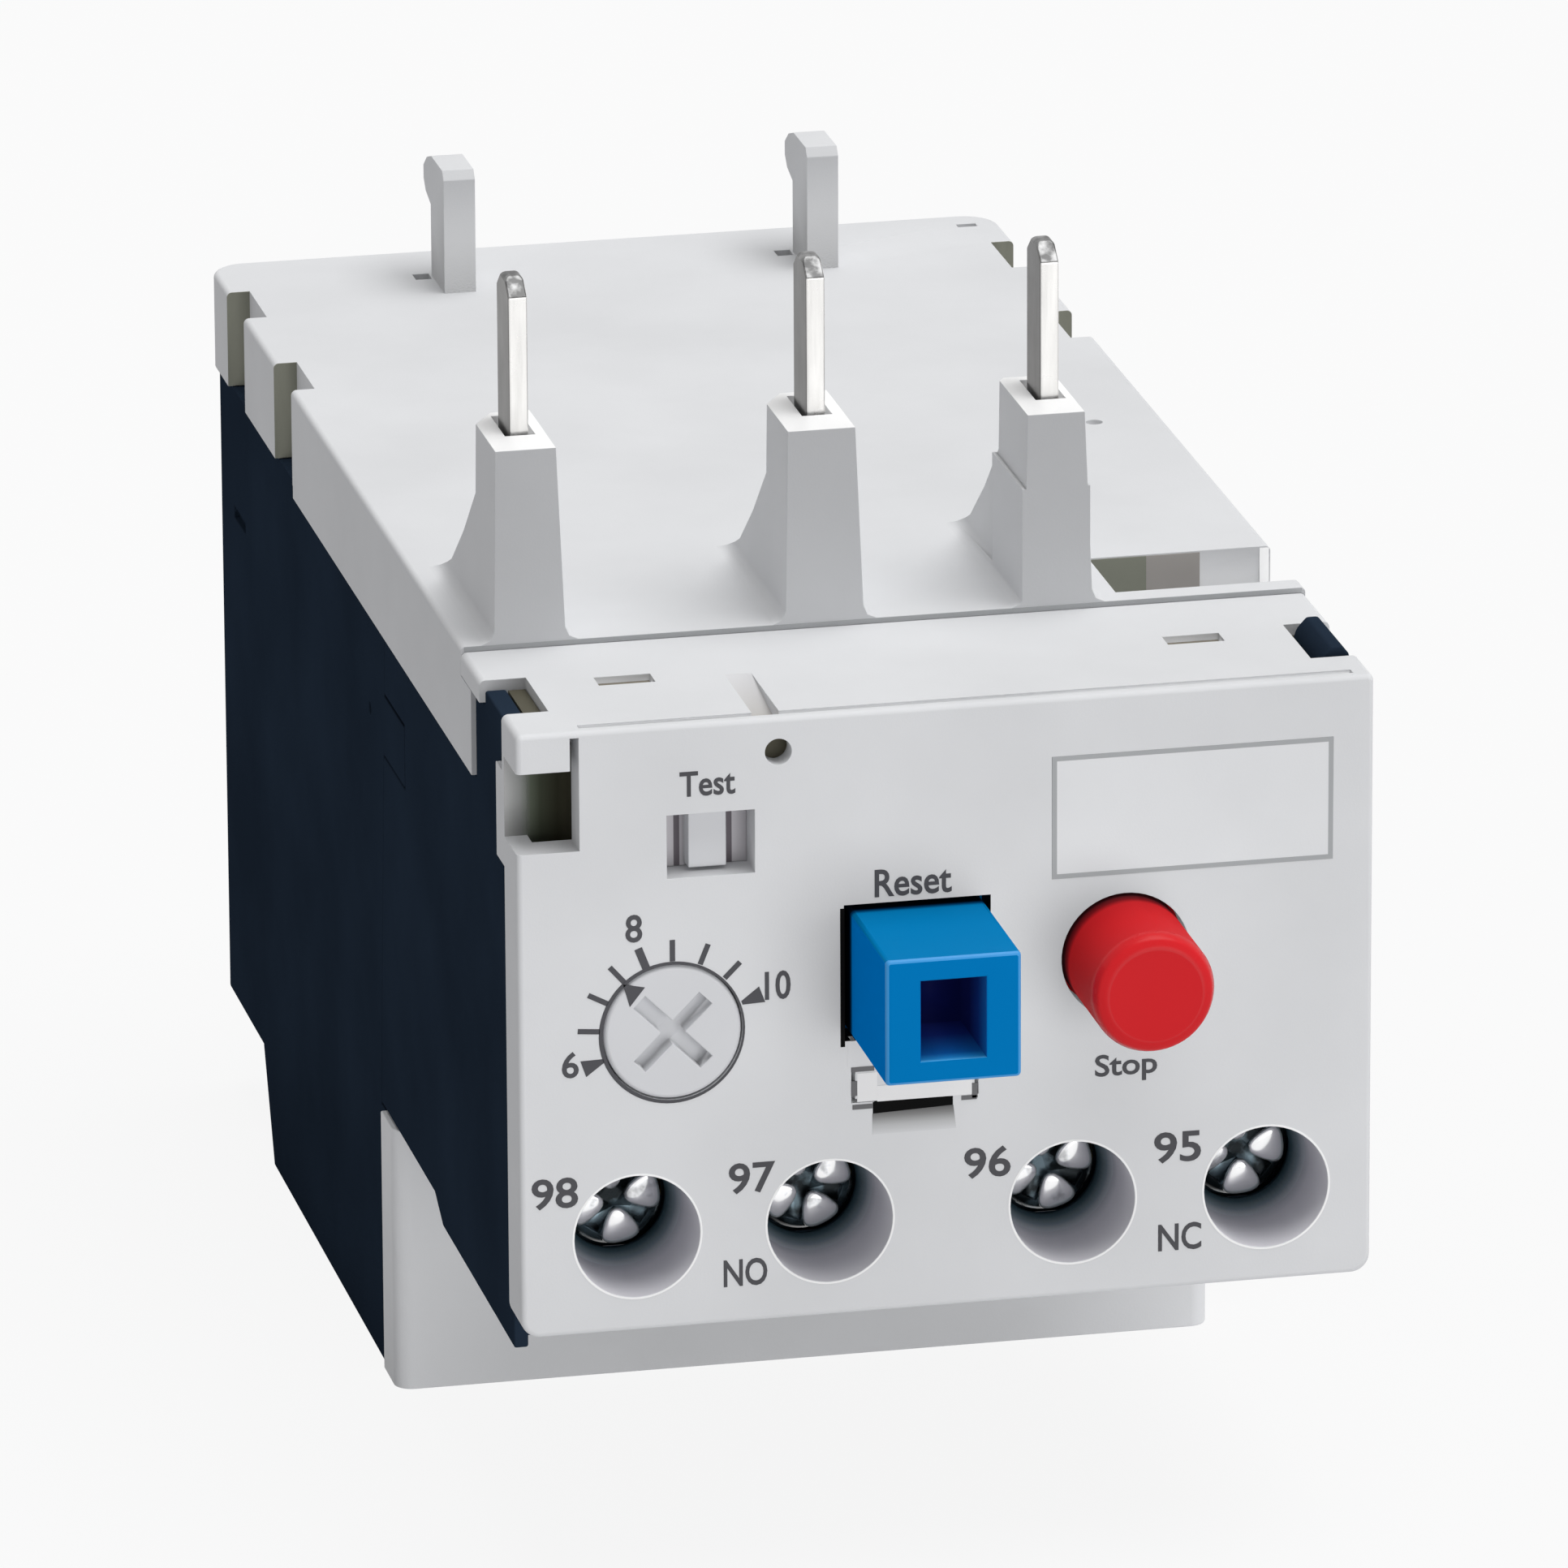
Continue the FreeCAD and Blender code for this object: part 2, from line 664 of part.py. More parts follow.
def rear_housing():
    top, rear_top = skirt_bottom - d.gap, skirt_bottom_rear - d.gap
    foot_end = tail_front - d.tail_ramp
    panel_top = belly - 0.1
    outline = [(panel_back, 0), (foot_end, 0), (tail_front, d.tail_height),
               (d.depth, d.tail_height), (d.depth, rear_top), (rear_start, rear_top),
               (rear_start, top), (d.seam_top, top), (d.seam_bottom, panel_top),
               (panel_back, panel_top)]
    block = prism("rear_block", "YZ_Plane", outline, (-housing_side, housing_side))
    rounded(block, d.rear_corner,
            lambda edge: runs_along(edge, "z") and lies_at(edge, "y", d.depth))
    wall = d.housing_wall
    back = d.depth - wall
    inner = [(panel_back - 5, wall), (foot_end - 0.6, wall), (tail_front - 0.6, d.tail_height + wall),
             (back, d.tail_height + wall), (back, plate_top), (panel_back - 5, plate_top)]
    hollow = prism("rear_hollow", "YZ_Plane", inner, (-housing_inner, housing_inner))
    parts = [carved("rear_shell", block, [hollow])]
    half_wall = d.partition_wall / 2
    for number, x in enumerate((-pole_pitch / 2, pole_pitch / 2), start=1):
        fence_outline = [(panel_back + 1.5, wall - 0.3), (foot_end - 1, wall - 0.3),
                         (tail_front, d.tail_height + wall - 0.3), (back + 0.3, d.tail_height + wall - 0.3),
                         (back + 0.3, link_bottom - 2.5), (d.seam_bottom + 2, link_bottom - 2.5),
                         (d.seam_bottom + 2, belly - 1), (panel_back + 1.5, belly - 1)]
        fence = prism(f"fence_{number}", "YZ_Plane", fence_outline, (x - half_wall, x + half_wall))
        window = box(f"fence_window_{number}", (x - 1, x + 1),
                     (d.strip_front - 2.5, d.strip_front + d.strip_wide + 2.5),
                     (d.slider_height - 0.6, d.slider_height + 2 * d.slider_thick + 1.4))
        parts.append(carved(f"partition_{number}", fence, [window]))
    tongue_y = (d.seam_top - d.tongue_length, d.seam_top + 1.5)
    tongue_z = (d.tongue_bottom, d.tongue_bottom + d.tongue_height)
    for number, x in enumerate(((-housing_side, -housing_inner), (housing_inner, housing_side))):
        parts.append(box(f"tongue_{number}", x, tongue_y, tongue_z))
    body = joined("rear_walls", parts)
    cuts = []
    for number, x in enumerate(pole_places, start=1):
        cage_y = (d.cage_front + d.cage_wall + 1.8, d.cage_front + 8.5)
        half_hole = d.cage_width / 2 - d.cage_wall + 0.1
        cuts.append(box(f"load_wire_hole_{number}", (x - half_hole, x + half_hole), cage_y,
                        (-1, wall + 1)))
    for number, (low, high) in enumerate(((-side, 0.3 - housing_side), (housing_side - 0.3, side))):
        cuts.append(box(f"oval_{number}", (low, high), (d.depth - 9.1, d.depth - 5.6),
                        (skirt_bottom - 7.0, skirt_bottom - 6.3)))
        cuts.append(rod(f"dimple_{number}", "x", (d.seam_top + 4.4, skirt_bottom - 5.6),
                        0.35, (low, high)))
    finished(carved("rear_housing_cut", body, cuts), "rear_housing")


def flared_outline(low_x, high_x, top_left, top_right, top):
    """An outline in X and Z that rises from the plate with a small hollow at each foot."""
    flare, height = d.post_flare, plate_top + d.post_flare
    low_bend, bend = d.post_flare * 0.3, plate_top + d.post_flare * 0.3
    return [(low_x - flare, plate_under), (high_x + flare, plate_under),
            (high_x + flare, plate_top), (high_x + low_bend, bend), (high_x, height),
            (top_right, top), (top_left, top),
            (low_x, height), (low_x - low_bend, bend), (low_x - flare, plate_top)]


def post_solid(number, x):
    """A post round one line blade, with the hollowed ramp that stiffens it from behind."""
    left, right = post_sides[number - 1]
    left, right = x - left, x + right
    outline = flared_outline(left - d.post_spread_left, right + d.post_spread_right, left, right,
                             post_top)
    clip_share = 1 if number < 3 else 0.25
    clip, across = d.post_clip * clip_share, d.post_clip_across * clip_share
    ramp_start = post_back - clip
    ramp_end = ramp_start + d.gusset_long
    block = prism(f"post_{number}", "XZ_Plane", outline, (d.ledge_depth, ramp_end))
    ramp_top = post_top - d.gusset_drop
    rise = ramp_top - plate_top
    above_ramp = [
        (ramp_start, post_top + 1), (ramp_start, ramp_top),
        (ramp_start + d.gusset_long * d.gusset_near, plate_top + rise * d.gusset_near_rise),
        (ramp_start + d.gusset_long * d.gusset_far, plate_top + rise * d.gusset_far_rise),
        (ramp_end, plate_top - 0.02), (ramp_end + 1, plate_top - 0.02), (ramp_end + 1, post_top + 1),
    ]
    plan = [(left - across, ramp_start - clip), (left + across, post_back),
            (right + 3, post_back), (right + 3, ramp_start - clip)]
    waste = carved(f"post_waste_{number}", prism(f"above_ramp_{number}", "YZ_Plane", above_ramp,
                                                 (left - 2, right + 2)),
                   [prism(f"post_plan_{number}", "XY_Plane", plan, (plate_under, post_top + 2))])
    solids = [carved(f"post_body_{number}", block, [waste])]
    if number == 3:
        solids.append(box("post_step_3", (left - 0.3, right + 0.3), (d.ledge_depth, post_back),
                          (plate_under, post_top - d.post_step)))
    return solids


def hook_solid(number, x):
    """A latch hook that grips the contactor: a shaft with a nub that faces the rear."""
    half = d.hook_width / 2
    front = d.depth - d.hook_back
    back = front + d.hook_depth
    top = plate_top + d.hook_height
    outline = [(front, plate_under), (back, plate_under), (back, top - 2.9),
               (back + d.hook_nub * 0.7, top - 2.5), (back + d.hook_nub, top - 1.9),
               (back + d.hook_nub, top - 1.1), (back + d.hook_nub * 0.5, top - 0.4),
               (back - 0.3, top), (front + 0.4, top), (front, top - 0.5)]
    return prism(f"hook_{number}", "YZ_Plane", outline, (x - half, x + half))


def top_cover():
    outline = [(-side, skirt_bottom), (side, skirt_bottom), (side, plate_top), (-side, plate_top)]
    block = prism("lid_block", "XZ_Plane", outline, (d.skirt_front, d.depth))
    rounded(block, d.rear_corner,
            lambda edge: runs_along(edge, "z") and lies_at(edge, "y", d.depth))
    rounded(block, d.face_edge, lambda edge: lies_at(edge, "z", plate_top)
            and not lies_at(edge, "y", d.skirt_front))
    wall = d.skirt_wall
    wide = (-side - 1, side + 1)
    shell = carved("lid_shell", block, [
        box("lid_hollow", (wall - side, side - wall), (d.skirt_front + wall, d.depth - wall),
            (0, ledge_under - d.gap - wall)),
        box("lid_hollow_upper", (wall - side, side - wall), (d.ledge_depth + wall, d.depth - wall),
            (0, plate_under)),
        box("lid_front_step", wide, (0, d.ledge_depth), (ledge_under - d.gap, plate_top + 1)),
        box("lid_rear_rise", wide, (rear_start, d.depth + 1), (0, skirt_bottom_rear)),
    ])
    parts = [shell]
    for number, x in enumerate(post_places, start=1):
        parts += post_solid(number, x)
    for number, x in enumerate(hook_places, start=1):
        parts.append(hook_solid(number, x))
    # The notches would open the skirt, so a rib behind each one closes it again.
    notch_ys = []
    rear_notch = d.depth - d.rear_block
    notch_ys.append((rear_notch - d.notch_long, rear_notch))
    front_notch = rear_notch - d.notch_long - d.middle_block
    notch_ys.append((front_notch - d.notch_long, front_notch))
    for number, (low, high) in enumerate(notch_ys):
        for name, x in (("left", (wall - side - 0.1, 2 * wall - side)),
                        ("right", (side - 2 * wall, side - wall + 0.1))):
            parts.append(box(f"rib_{name}_{number}", x, (low - 1, high + 1),
                             (skirt_bottom_rear, plate_under + 0.1)))
    pocket_left = post_places[2] + d.post_three_right + d.pocket_gap
    pocket_front = d.ledge_depth + d.pocket_start
    pocket_y = (pocket_front, pocket_front + d.pocket_long)
    floor = d.pocket_floor
    parts.append(box("pocket_tray", (pocket_left - floor, side - wall / 2),
                     (pocket_y[0] - floor, pocket_y[1] + floor),
                     (plate_top - d.pocket_deep - floor, plate_under + 0.1)))
    body = joined("lid_body", parts)

    cuts = []
    for number, (low, high) in enumerate(notch_ys):
        for name, x in (("left", (-side - 1, d.notch_deep - side)),
                        ("right", (side - d.notch_deep, side + 1))):
            cuts.append(box(f"notch_{name}_{number}", x, (low, high), (0, plate_top + 1)))
    for number, x in enumerate(post_places, start=1):
        slot_x = x + d.blade_offset
        half = d.blade_thick / 2 + d.blade_slot_gap
        cuts.append(box(f"blade_slot_{number}", (slot_x - half, slot_x + half),
                        (blade_front - d.blade_slot_gap, blade_back + d.blade_slot_gap),
                        (0, post_top + 1)))
    for number, x in enumerate(hook_places, start=1):
        hole_y = d.depth - d.hook_back + d.hook_depth
        cuts.append(box(f"hook_hole_{number}", (x - 1.9, x - 1.0), (hole_y - 0.7, hole_y + 0.4),
                        (0, plate_top + 1)))
    slot_left = side - d.rear_slot_inset
    slot_front = d.depth - d.rear_slot_inset
    cuts += [
        box("pocket", (pocket_left, side + 1), pocket_y,
            (plate_top - d.pocket_deep, plate_top + 1)),
        box("rear_slot", (slot_left, slot_left + d.rear_slot_wide),
            (slot_front, slot_front + d.rear_slot_long),
            (plate_top - d.rear_slot_deep, plate_top + 1)),
        rod("plate_hole", "z", (side - d.plate_hole_inset, rear_start - d.plate_hole_back), 0.45,
            (plate_top - d.plate_hole_deep, plate_top + 1)),
    ]
    finished(carved("top_cover_cut", body, cuts), "top_cover")


def lower_panel():
    top = belly - 0.1
    back = panel_back - d.gap
    outline = [(-side, 0), (side, 0), (side, top), (-side, top)]
    block = prism("panel_block", "XZ_Plane", outline, (d.panel_front, back))
    rounded(block, d.panel_corner,
            lambda edge: runs_along(edge, "z") and lies_at(edge, "y", d.panel_front))
    rim = d.rim_wall
    shell = carved("panel_shell", block, [
        box("panel_hollow", (rim - side, side - rim), (d.panel_front + d.panel_wall, d.depth),
            (rim, top - rim)),
    ])
    holes = []
    for number, x in enumerate(pole_places, start=1):
        holes.append(rod(f"driver_hole_{number}", "y", (x, d.load_screw_height), d.load_hole,
                         (d.panel_front - 1, back + 1)))
    finished(carved("lower_panel_cut", shell, holes), "lower_panel")


# ---------------------------------------------------------------- current path

def line_blade(number):
    """A flat plug-in blade with its run back over the pole and the tab that holds the strip."""
    x = post_places[number - 1] + d.blade_offset
    pole = pole_places[number - 1]
    half, half_run = d.blade_thick / 2, d.blade_wide / 2
    outline = [(blade_front, link_bottom), (blade_back, link_bottom),
               (blade_back, blade_tip - 0.9), (blade_back - 1.1, blade_tip),
               (blade_front + 1.1, blade_tip), (blade_front, blade_tip - 0.9)]
    blade = prism(f"blade_{number}", "YZ_Plane", outline, (x - half, x + half))
    rounded(blade, 0.3,
            lambda edge: lies_at(edge, "z", blade_tip) and runs_along(edge, "y"))
    run_end = d.strip_front - 2
    run = box(f"run_{number}", (x - half_run, x + half_run), (blade_front, run_end),
              (link_bottom, link_top))
    strip_side = pole - d.strip_thick / 2
    cross = box(f"cross_{number}", (x - half_run, strip_side), (run_end - d.blade_wide, run_end),
                (link_bottom, link_top))
    back = box(f"back_{number}", (strip_side - 2.6, strip_side),
               (run_end - d.blade_wide, d.strip_front + d.strip_wide), (link_bottom, link_top))
    tab = box(f"tab_{number}", (strip_side - d.blade_thick, strip_side),
              (d.strip_front, d.strip_front + d.strip_wide), (d.strip_top - 3, link_top))
    finished(joined(f"line_blade_{number}_solid", [blade, run, cross, back, tab]),
             f"line_blade_{number}")


def bimetal_strip(number):
    """A bimetal strip that hangs from the blade's tab, with the two weld spots that hold it."""
    pole = pole_places[number - 1]
    half = d.strip_thick / 2
    middle = d.strip_front + d.strip_wide / 2
    strip = box(f"strip_{number}", (pole - half, pole + half),
                (d.strip_front, d.strip_front + d.strip_wide), (d.strip_bottom, d.strip_top))
    spots = []
    for spot, height in enumerate((d.strip_top - 0.8, d.strip_top - 2.2)):
        spots.append(rod(f"weld_{number}_{spot}", "x", (middle, height), 0.5,
                         (pole + half - 0.1, pole + half + 0.2)))
    finished(joined(f"strip_{number}_solid", [strip] + spots), f"bimetal_strip_{number}")


def heater_winding(number):
    """The heater ribbon round the strip: flat turns joined by one riser."""
    pole = pole_places[number - 1]
    half = d.strip_thick / 2 + d.coil_gap
    outer = half + d.coil_wall
    front, back = d.strip_front - d.coil_gap, d.strip_front + d.strip_wide + d.coil_gap
    height = d.coil_pitch * (d.coil_turns - 1) + d.coil_turn
    sleeve = box(f"sleeve_{number}", (pole - outer, pole + outer),
                 (front - d.coil_wall, back + d.coil_wall), (d.coil_bottom, d.coil_bottom + height))
    cuts = [box(f"bore_{number}", (pole - half, pole + half), (front, back),
                (0, plate_top))]
    for turn in range(int(d.coil_turns.value) - 1):
        low = d.coil_bottom + d.coil_pitch * turn + d.coil_turn
        space = (low, low + d.coil_pitch - d.coil_turn)
        cuts.append(box(f"space_{number}_{turn}", (pole - outer - 1, pole + outer + 1),
                        (front - d.coil_wall + 0.8, d.depth), space))
        cuts.append(box(f"space_front_{number}_{turn}", (pole + 0.9, pole + outer + 1),
                        (front - d.coil_wall - 1, d.depth), space))
        cuts.append(box(f"space_side_{number}_{turn}", (pole - outer - 1, pole - 0.9),
                        (front - d.coil_wall - 1, d.depth), space))
    finished(carved(f"heater_{number}_solid", sleeve, cuts), f"heater_winding_{number}")


def load_bar(number):
    """The bar from the heater's lower end down into the load terminal's cage."""
    pole = pole_places[number - 1]
    back = d.cage_front + d.cage_depth - d.cage_wall - 0.4
    front = back - d.terminal_plate
    heater_face = d.strip_front - d.coil_gap - d.coil_wall
    half_cage = d.cage_width / 2 - d.cage_wall - 0.4
    upright = box(f"bar_upright_{number}", (pole - half_cage, pole + half_cage), (front, back),
                  (d.cage_bottom + 1, d.coil_bottom + d.terminal_plate))
    shelf = box(f"bar_shelf_{number}", (pole - 2, pole + 2), (front, heater_face),
                (d.coil_bottom, d.coil_bottom + d.terminal_plate))
    finished(joined(f"load_bar_{number}_solid", [upright, shelf]), f"load_bar_{number}")


def load_cage(number):
    pole = pole_places[number - 1]
    half, wall = d.cage_width / 2, d.cage_wall
    back = d.cage_front + d.cage_depth
    top = d.cage_bottom + d.cage_height
    sleeve = box(f"cage_{number}", (pole - half, pole + half), (d.cage_front, back),
                 (d.cage_bottom, top))
    tools = [
        box(f"cage_bore_{number}", (pole - half + wall, pole + half - wall),
            (d.cage_front + wall, back - wall), (0, plate_top)),
        rod(f"cage_thread_{number}", "y", (pole, d.load_screw_height),
            d.load_screw_shank + d.running, (d.cage_front - 1, d.cage_front + wall + 1)),
    ]
    finished(carved(f"load_cage_{number}_solid", sleeve, tools), f"load_cage_{number}")


def screw(label, x, z, front, head, thick, shank, tip, turn=0):
    """A pan-head terminal screw along Y with a cross recess, turned by some degrees."""
    stem = [(0, 0), (head - 0.7, 0), (head - 0.25, 0.2),
            (head, 0.6), (head, thick), (shank, thick), (shank, tip - 0.4),
            (shank - 0.4, tip), (0, tip)]
    body = turned(label + "_stem", stem)
    reach, half = head * 0.76, head * 0.17
    recess = [
        box(label + "_cross", (-reach, reach), (-1, thick * 0.55), (-half, half)),
        box(label + "_slot", (-half, half), (-1, thick * 0.55), (-reach, reach)),
    ]
    piece = finished(carved(label + "_solid", body, recess), label, x, front, z)
    piece.Placement.Rotation = FreeCAD.Rotation(FreeCAD.Vector(0, 1, 0), turn)


def control_terminal(mark):
    """Screw, pressure plate and fixed contact of one auxiliary terminal."""
    x = terminal_places[mark]
    height = d.terminal_height
    head_front = d.tube_depth + 0.1
    tip = plate_back + 1.6 - head_front
    screw(f"control_screw_{mark}", x, height, head_front, d.screw_head, d.screw_head_thick,
          d.screw_shank, tip, screw_turns[mark])

    half = d.washer_size / 2
    washer = box(f"pressure_plate_{mark}", (x - half, x + half), (washer_front, washer_back),
                 (height - half, height + half))
    bore = rod(f"pressure_bore_{mark}", "y", (x, height), d.screw_shank + 0.1,
               (washer_front - 1, washer_back + 1))
    finished(carved(f"washer_{mark}_solid", washer, [bore]), f"clamp_washer_{mark}")

    thick = d.terminal_plate
    contact_top = d.contact_height + d.contact_rise
    low = height - half
    parts = []
    if mark in ("95", "96"):
        parts.append(box(f"leg_{mark}", (x - half, x + half), (plate_front, plate_back),
                         (low, contact_top)))
        tip_y = (plate_back - 0.1, plate_back + d.contact_proud)
    else:
        knee = height + half + 0.2
        reach = plate_back + d.contact_reach
        parts.append(box(f"leg_{mark}", (x - half, x + half), (plate_front, plate_back),
                         (low, knee)))
        parts.append(box(f"shelf_{mark}", (x - half, x + half), (plate_front, reach),
                         (knee - thick, knee)))
        parts.append(box(f"rise_{mark}", (x - half, x + half), (reach - thick, reach),
                         (knee - thick, contact_top)))
        tip_y = (reach - thick - d.contact_proud, reach - thick + 0.1)
    parts.append(rod(f"tip_{mark}", "y", (x, d.contact_height), d.contact_radius, tip_y))
    solid = joined(f"terminal_{mark}_body", parts)
    thread = rod(f"thread_{mark}", "y", (x, height), d.screw_shank + d.running,
                 (plate_front - 1, plate_back + 1))
    finished(carved(f"terminal_{mark}_solid", solid, [thread]), f"fixed_contact_{mark}")


# ---------------------------------------------------------------- mechanism

carrier_front = plate_back + d.carrier_gap
carrier_back = carrier_front + d.carrier_thick
nc_front = plate_back + d.contact_proud + d.gap
no_front = plate_back + d.contact_reach - d.terminal_plate - d.contact_proud - d.travel - d.gap
no_front -= d.bridge_thick
guide_places = (dial_x + d.dial_shaft + d.guide_left, stop_x + d.guide_right)
guide_height = d.contact_height + d.guide_rise


def inner_frame():
    """The plate behind the front cover that seats the springs and guides the plungers."""
    wide = (d.frame_side_gap - housing_inner, housing_inner - d.frame_side_gap)
    base = box("frame_plate", wide, (d.frame_front, frame_back), (d.frame_bottom, frame_top))
    posts = []
    for number, x in enumerate(guide_places, start=1):
        posts.append(rod(f"guide_{number}", "y", (x, guide_height), d.guide_radius,
                         (frame_back - 0.5, carrier_back + d.travel + 1)))
    lever_post_end = d.lever_front - 0.2
    posts.append(rod("lever_post", "y", (d.lever_x, d.lever_height), d.lever_pin * 2,
                     (frame_back - 0.5, lever_post_end)))
    body = joined("frame_body", [base] + posts)
    through = (d.frame_front - 1, frame_back + 1)
    pin_hole = (lever_post_end - 4, d.depth)
    cuts = [
        rod("frame_dial_hole", "y", (dial_x, d.dial_height), d.dial_shaft + d.running, through),
        rod("frame_reset_hole", "y", (d.reset_x, d.reset_height), d.rod_radius + d.running, through),
        rod("frame_stop_hole", "y", (stop_x, d.stop_height), d.rod_radius + d.running, through),
        rod("frame_pin_hole", "y", (d.lever_x, d.lever_height), d.lever_pin, pin_hole),
    ]
    finished(carved("inner_frame_solid", body, cuts), "inner_frame")


def lever_pin():
    start = d.lever_front - 0.2 - 4
    length = 4 + 0.2 + d.lever_thick + 2.2
    outline = [(0, 0), (d.lever_pin, 0),
               (d.lever_pin, length - 1), (d.lever_pin + 0.8, length - 1),
               (d.lever_pin + 0.8, length - 0.3), (d.lever_pin + 0.5, length),
               (0, length)]
    finished(turned("pin_turn_body", outline), "lever_pin", d.lever_x, start, d.lever_height)


def contact_carrier():
    """The plastic slide that carries both contact bridges on the frame's guide posts."""
    low, high = guide_height - d.carrier_below, guide_height + d.carrier_above
    bar = box("carrier_bar", (guide_places[0] - d.carrier_end, guide_places[1] + d.carrier_end),
              (carrier_front, carrier_back), (low, high))
    middle_nc = (d.terminal_three + terminal_four) / 2
    bridge_low = d.contact_height - d.bridge_tall / 2
    nc_back = nc_front + d.bridge_thick + d.gap
    no_back = no_front + d.bridge_thick + d.gap
    middle_no = (terminal_one + d.terminal_two) / 2
    nc_arm = box("carrier_nc_arm", (middle_nc - 1.3, middle_nc + 1.3), (nc_back, carrier_back),
                 (bridge_low, low + 0.5))
    no_arm = box("carrier_no_arm", (middle_no - 1.2, middle_no + 1.2), (no_back, carrier_back),
                 (bridge_low, low + 0.5))
    body = joined("carrier_body", [bar, nc_arm, no_arm])
    holes = []
    for number, x in enumerate(guide_places, start=1):
        holes.append(rod(f"carrier_bore_{number}", "y", (x, guide_height), d.guide_radius + d.running,
                         (carrier_front - 1, carrier_back + 1)))
    finished(carved("contact_carrier_solid", body, holes), "contact_carrier")


def contact_bridge(label, first, last, front):
    """A springy bridge strip with a raised contact at each end."""
    half = d.bridge_tall / 2
    strip = box(label + "_strip", (first - d.bridge_end, last + d.bridge_end),
                (front, front + d.bridge_thick), (d.contact_height - half, d.contact_height + half))
    rib = box(label + "_rib", (first + 2.0, last - 2.0), (front - 0.25, front + 0.1),
              (d.contact_height - 0.4, d.contact_height + 0.4))
    finished(joined(label + "_solid", [strip, rib]), label)


def button_rod(label):
    """The round rod behind a button's flange, which slides in the inner frame."""
    back = frame_back - 0.3
    return turned(label, [(0, flange_back - 0.5), (d.rod_radius, flange_back - 0.5),
                          (d.rod_radius, back - 0.3), (d.rod_radius - 0.3, back), (0, back)])


def reset_button():
    half, tall = d.reset_width / 2, d.reset_tall / 2
    outline = [(-half, -tall), (half, -tall), (half, tall), (-half, tall)]
    head = prism("reset_head", "XZ_Plane", outline, (-d.reset_proud, flange_front + 0.2))
    rounded(head, 0.25, lambda edge: lies_at(edge, "y", -d.reset_proud)
            or (runs_along(edge, "y")))
    lip = d.button_flange
    flange = box("reset_flange", (-half - lip, half + lip), (flange_front, flange_back),
                 (-tall - lip, tall + lip))
    body = joined("reset_body", [head, flange, button_rod("reset_rod")])
    socket_half, socket_tall = d.reset_socket_width / 2, d.reset_socket_tall / 2
    socket = box("reset_socket", (-socket_half, socket_half),
                 (-d.reset_proud - 1, d.reset_socket_depth - d.reset_proud),
                 (-socket_tall, socket_tall))
    solid = carved("reset_solid", body, [socket])
    finished(solid, "reset_button", d.reset_x, 0, d.reset_height)


def stop_button():
    lip = d.stop_radius + d.button_flange
    back = frame_back - 0.3
    outline = [(0, -d.stop_proud), (d.stop_radius - 0.8, -d.stop_proud),
               (d.stop_radius - 0.23, 0.23 - d.stop_proud), (d.stop_radius, 0.8 - d.stop_proud),
               (d.stop_radius, flange_front), (lip, flange_front), (lip, flange_back),
               (d.rod_radius, flange_back), (d.rod_radius, back - 0.3),
               (d.rod_radius - 0.3, back), (0, back)]
    finished(turned("stop_turn_body", outline), "stop_button", stop_x, 0, d.stop_height)


def button_spring(label, x, z):
    """A compression spring between a button's flange and the inner frame."""
    wire = d.spring_wire.value
    radius = d.rod_radius.value + 0.3 + wire
    start = flange_back.value + wire + 0.05
    height = d.frame_front.value - wire - 0.05 - start
    pitch = height / d.spring_turns.value
    helix = Part.makeHelix(pitch, height, radius)
    profile = Part.Wire([Part.makeCircle(wire, FreeCAD.Vector(radius, 0, 0),
                                         FreeCAD.Vector(0, 1, pitch / (2 * math.pi * radius)))])
    coil = Part.Wire(helix.Edges).makePipeShell([profile], True, True)
    spring = doc.addObject("Part::Feature", label + "_coil")
    spring.Shape = coil
    spring.Placement.Rotation = FreeCAD.Rotation(FreeCAD.Vector(1, 0, 0), -90)
    finished(spring, label, x, start, z)


def dial():
    """The setting dial: a slotted disc, its retaining flange, shaft and eccentric cam."""
    flange = d.dial_radius + 0.7
    back = d.lever_front - 3.3
    outline = [(0, 0), (d.dial_radius - 0.15, 0),
               (d.dial_radius, 0.15), (d.dial_radius, flange_front),
               (flange, flange_front), (flange, flange_front + 1), (d.dial_shaft, flange_front + 1),
               (d.dial_shaft, back), (0, back)]
    shaft = turned("dial_turn_body", outline)
    cam = rod("dial_cam_disc", "y", (0, d.dial_cam_offset), d.dial_cam,
              (back - 0.1, back + 2.6))
    body = joined("dial_body", [shaft, cam])
    arm, half, deep = d.dial_radius * 0.68, 0.42, 0.9
    cross = joined("dial_cross", [
        box("dial_slot_a", (-arm, arm), (-1, deep), (-half, half)),
        box("dial_slot_b", (-half, half), (-1, deep), (-arm, arm)),
    ])
    knob = finished(carved("dial_solid", body, [cross]), "setting_dial",
                    dial_x, 0, d.dial_height)
    knob.Placement.Rotation = FreeCAD.Rotation(FreeCAD.Vector(0, 1, 0), 45)


def test_slider():
    half, tall = d.test_paddle / 2, d.test_tall / 2 - 0.2
    paddle = box("test_paddle_block", (-half, half), (0.9, flange_front + 0.5),
                 (-tall, tall))
    reach = d.test_wide / 2 + 0.9
    flange = box("test_flange", (-reach, reach), (flange_front, flange_front + 1),
                 (-tall - 0.9, tall + 0.9))
    tail = box("test_tail", (-half / 2, half / 2), (flange_front + 0.5, d.frame_front - 0.2),
               (-0.6, 0.6))
    finished(joined("test_solid", [paddle, flange, tail]), "test_slider",
             test_x, 0, test_height)


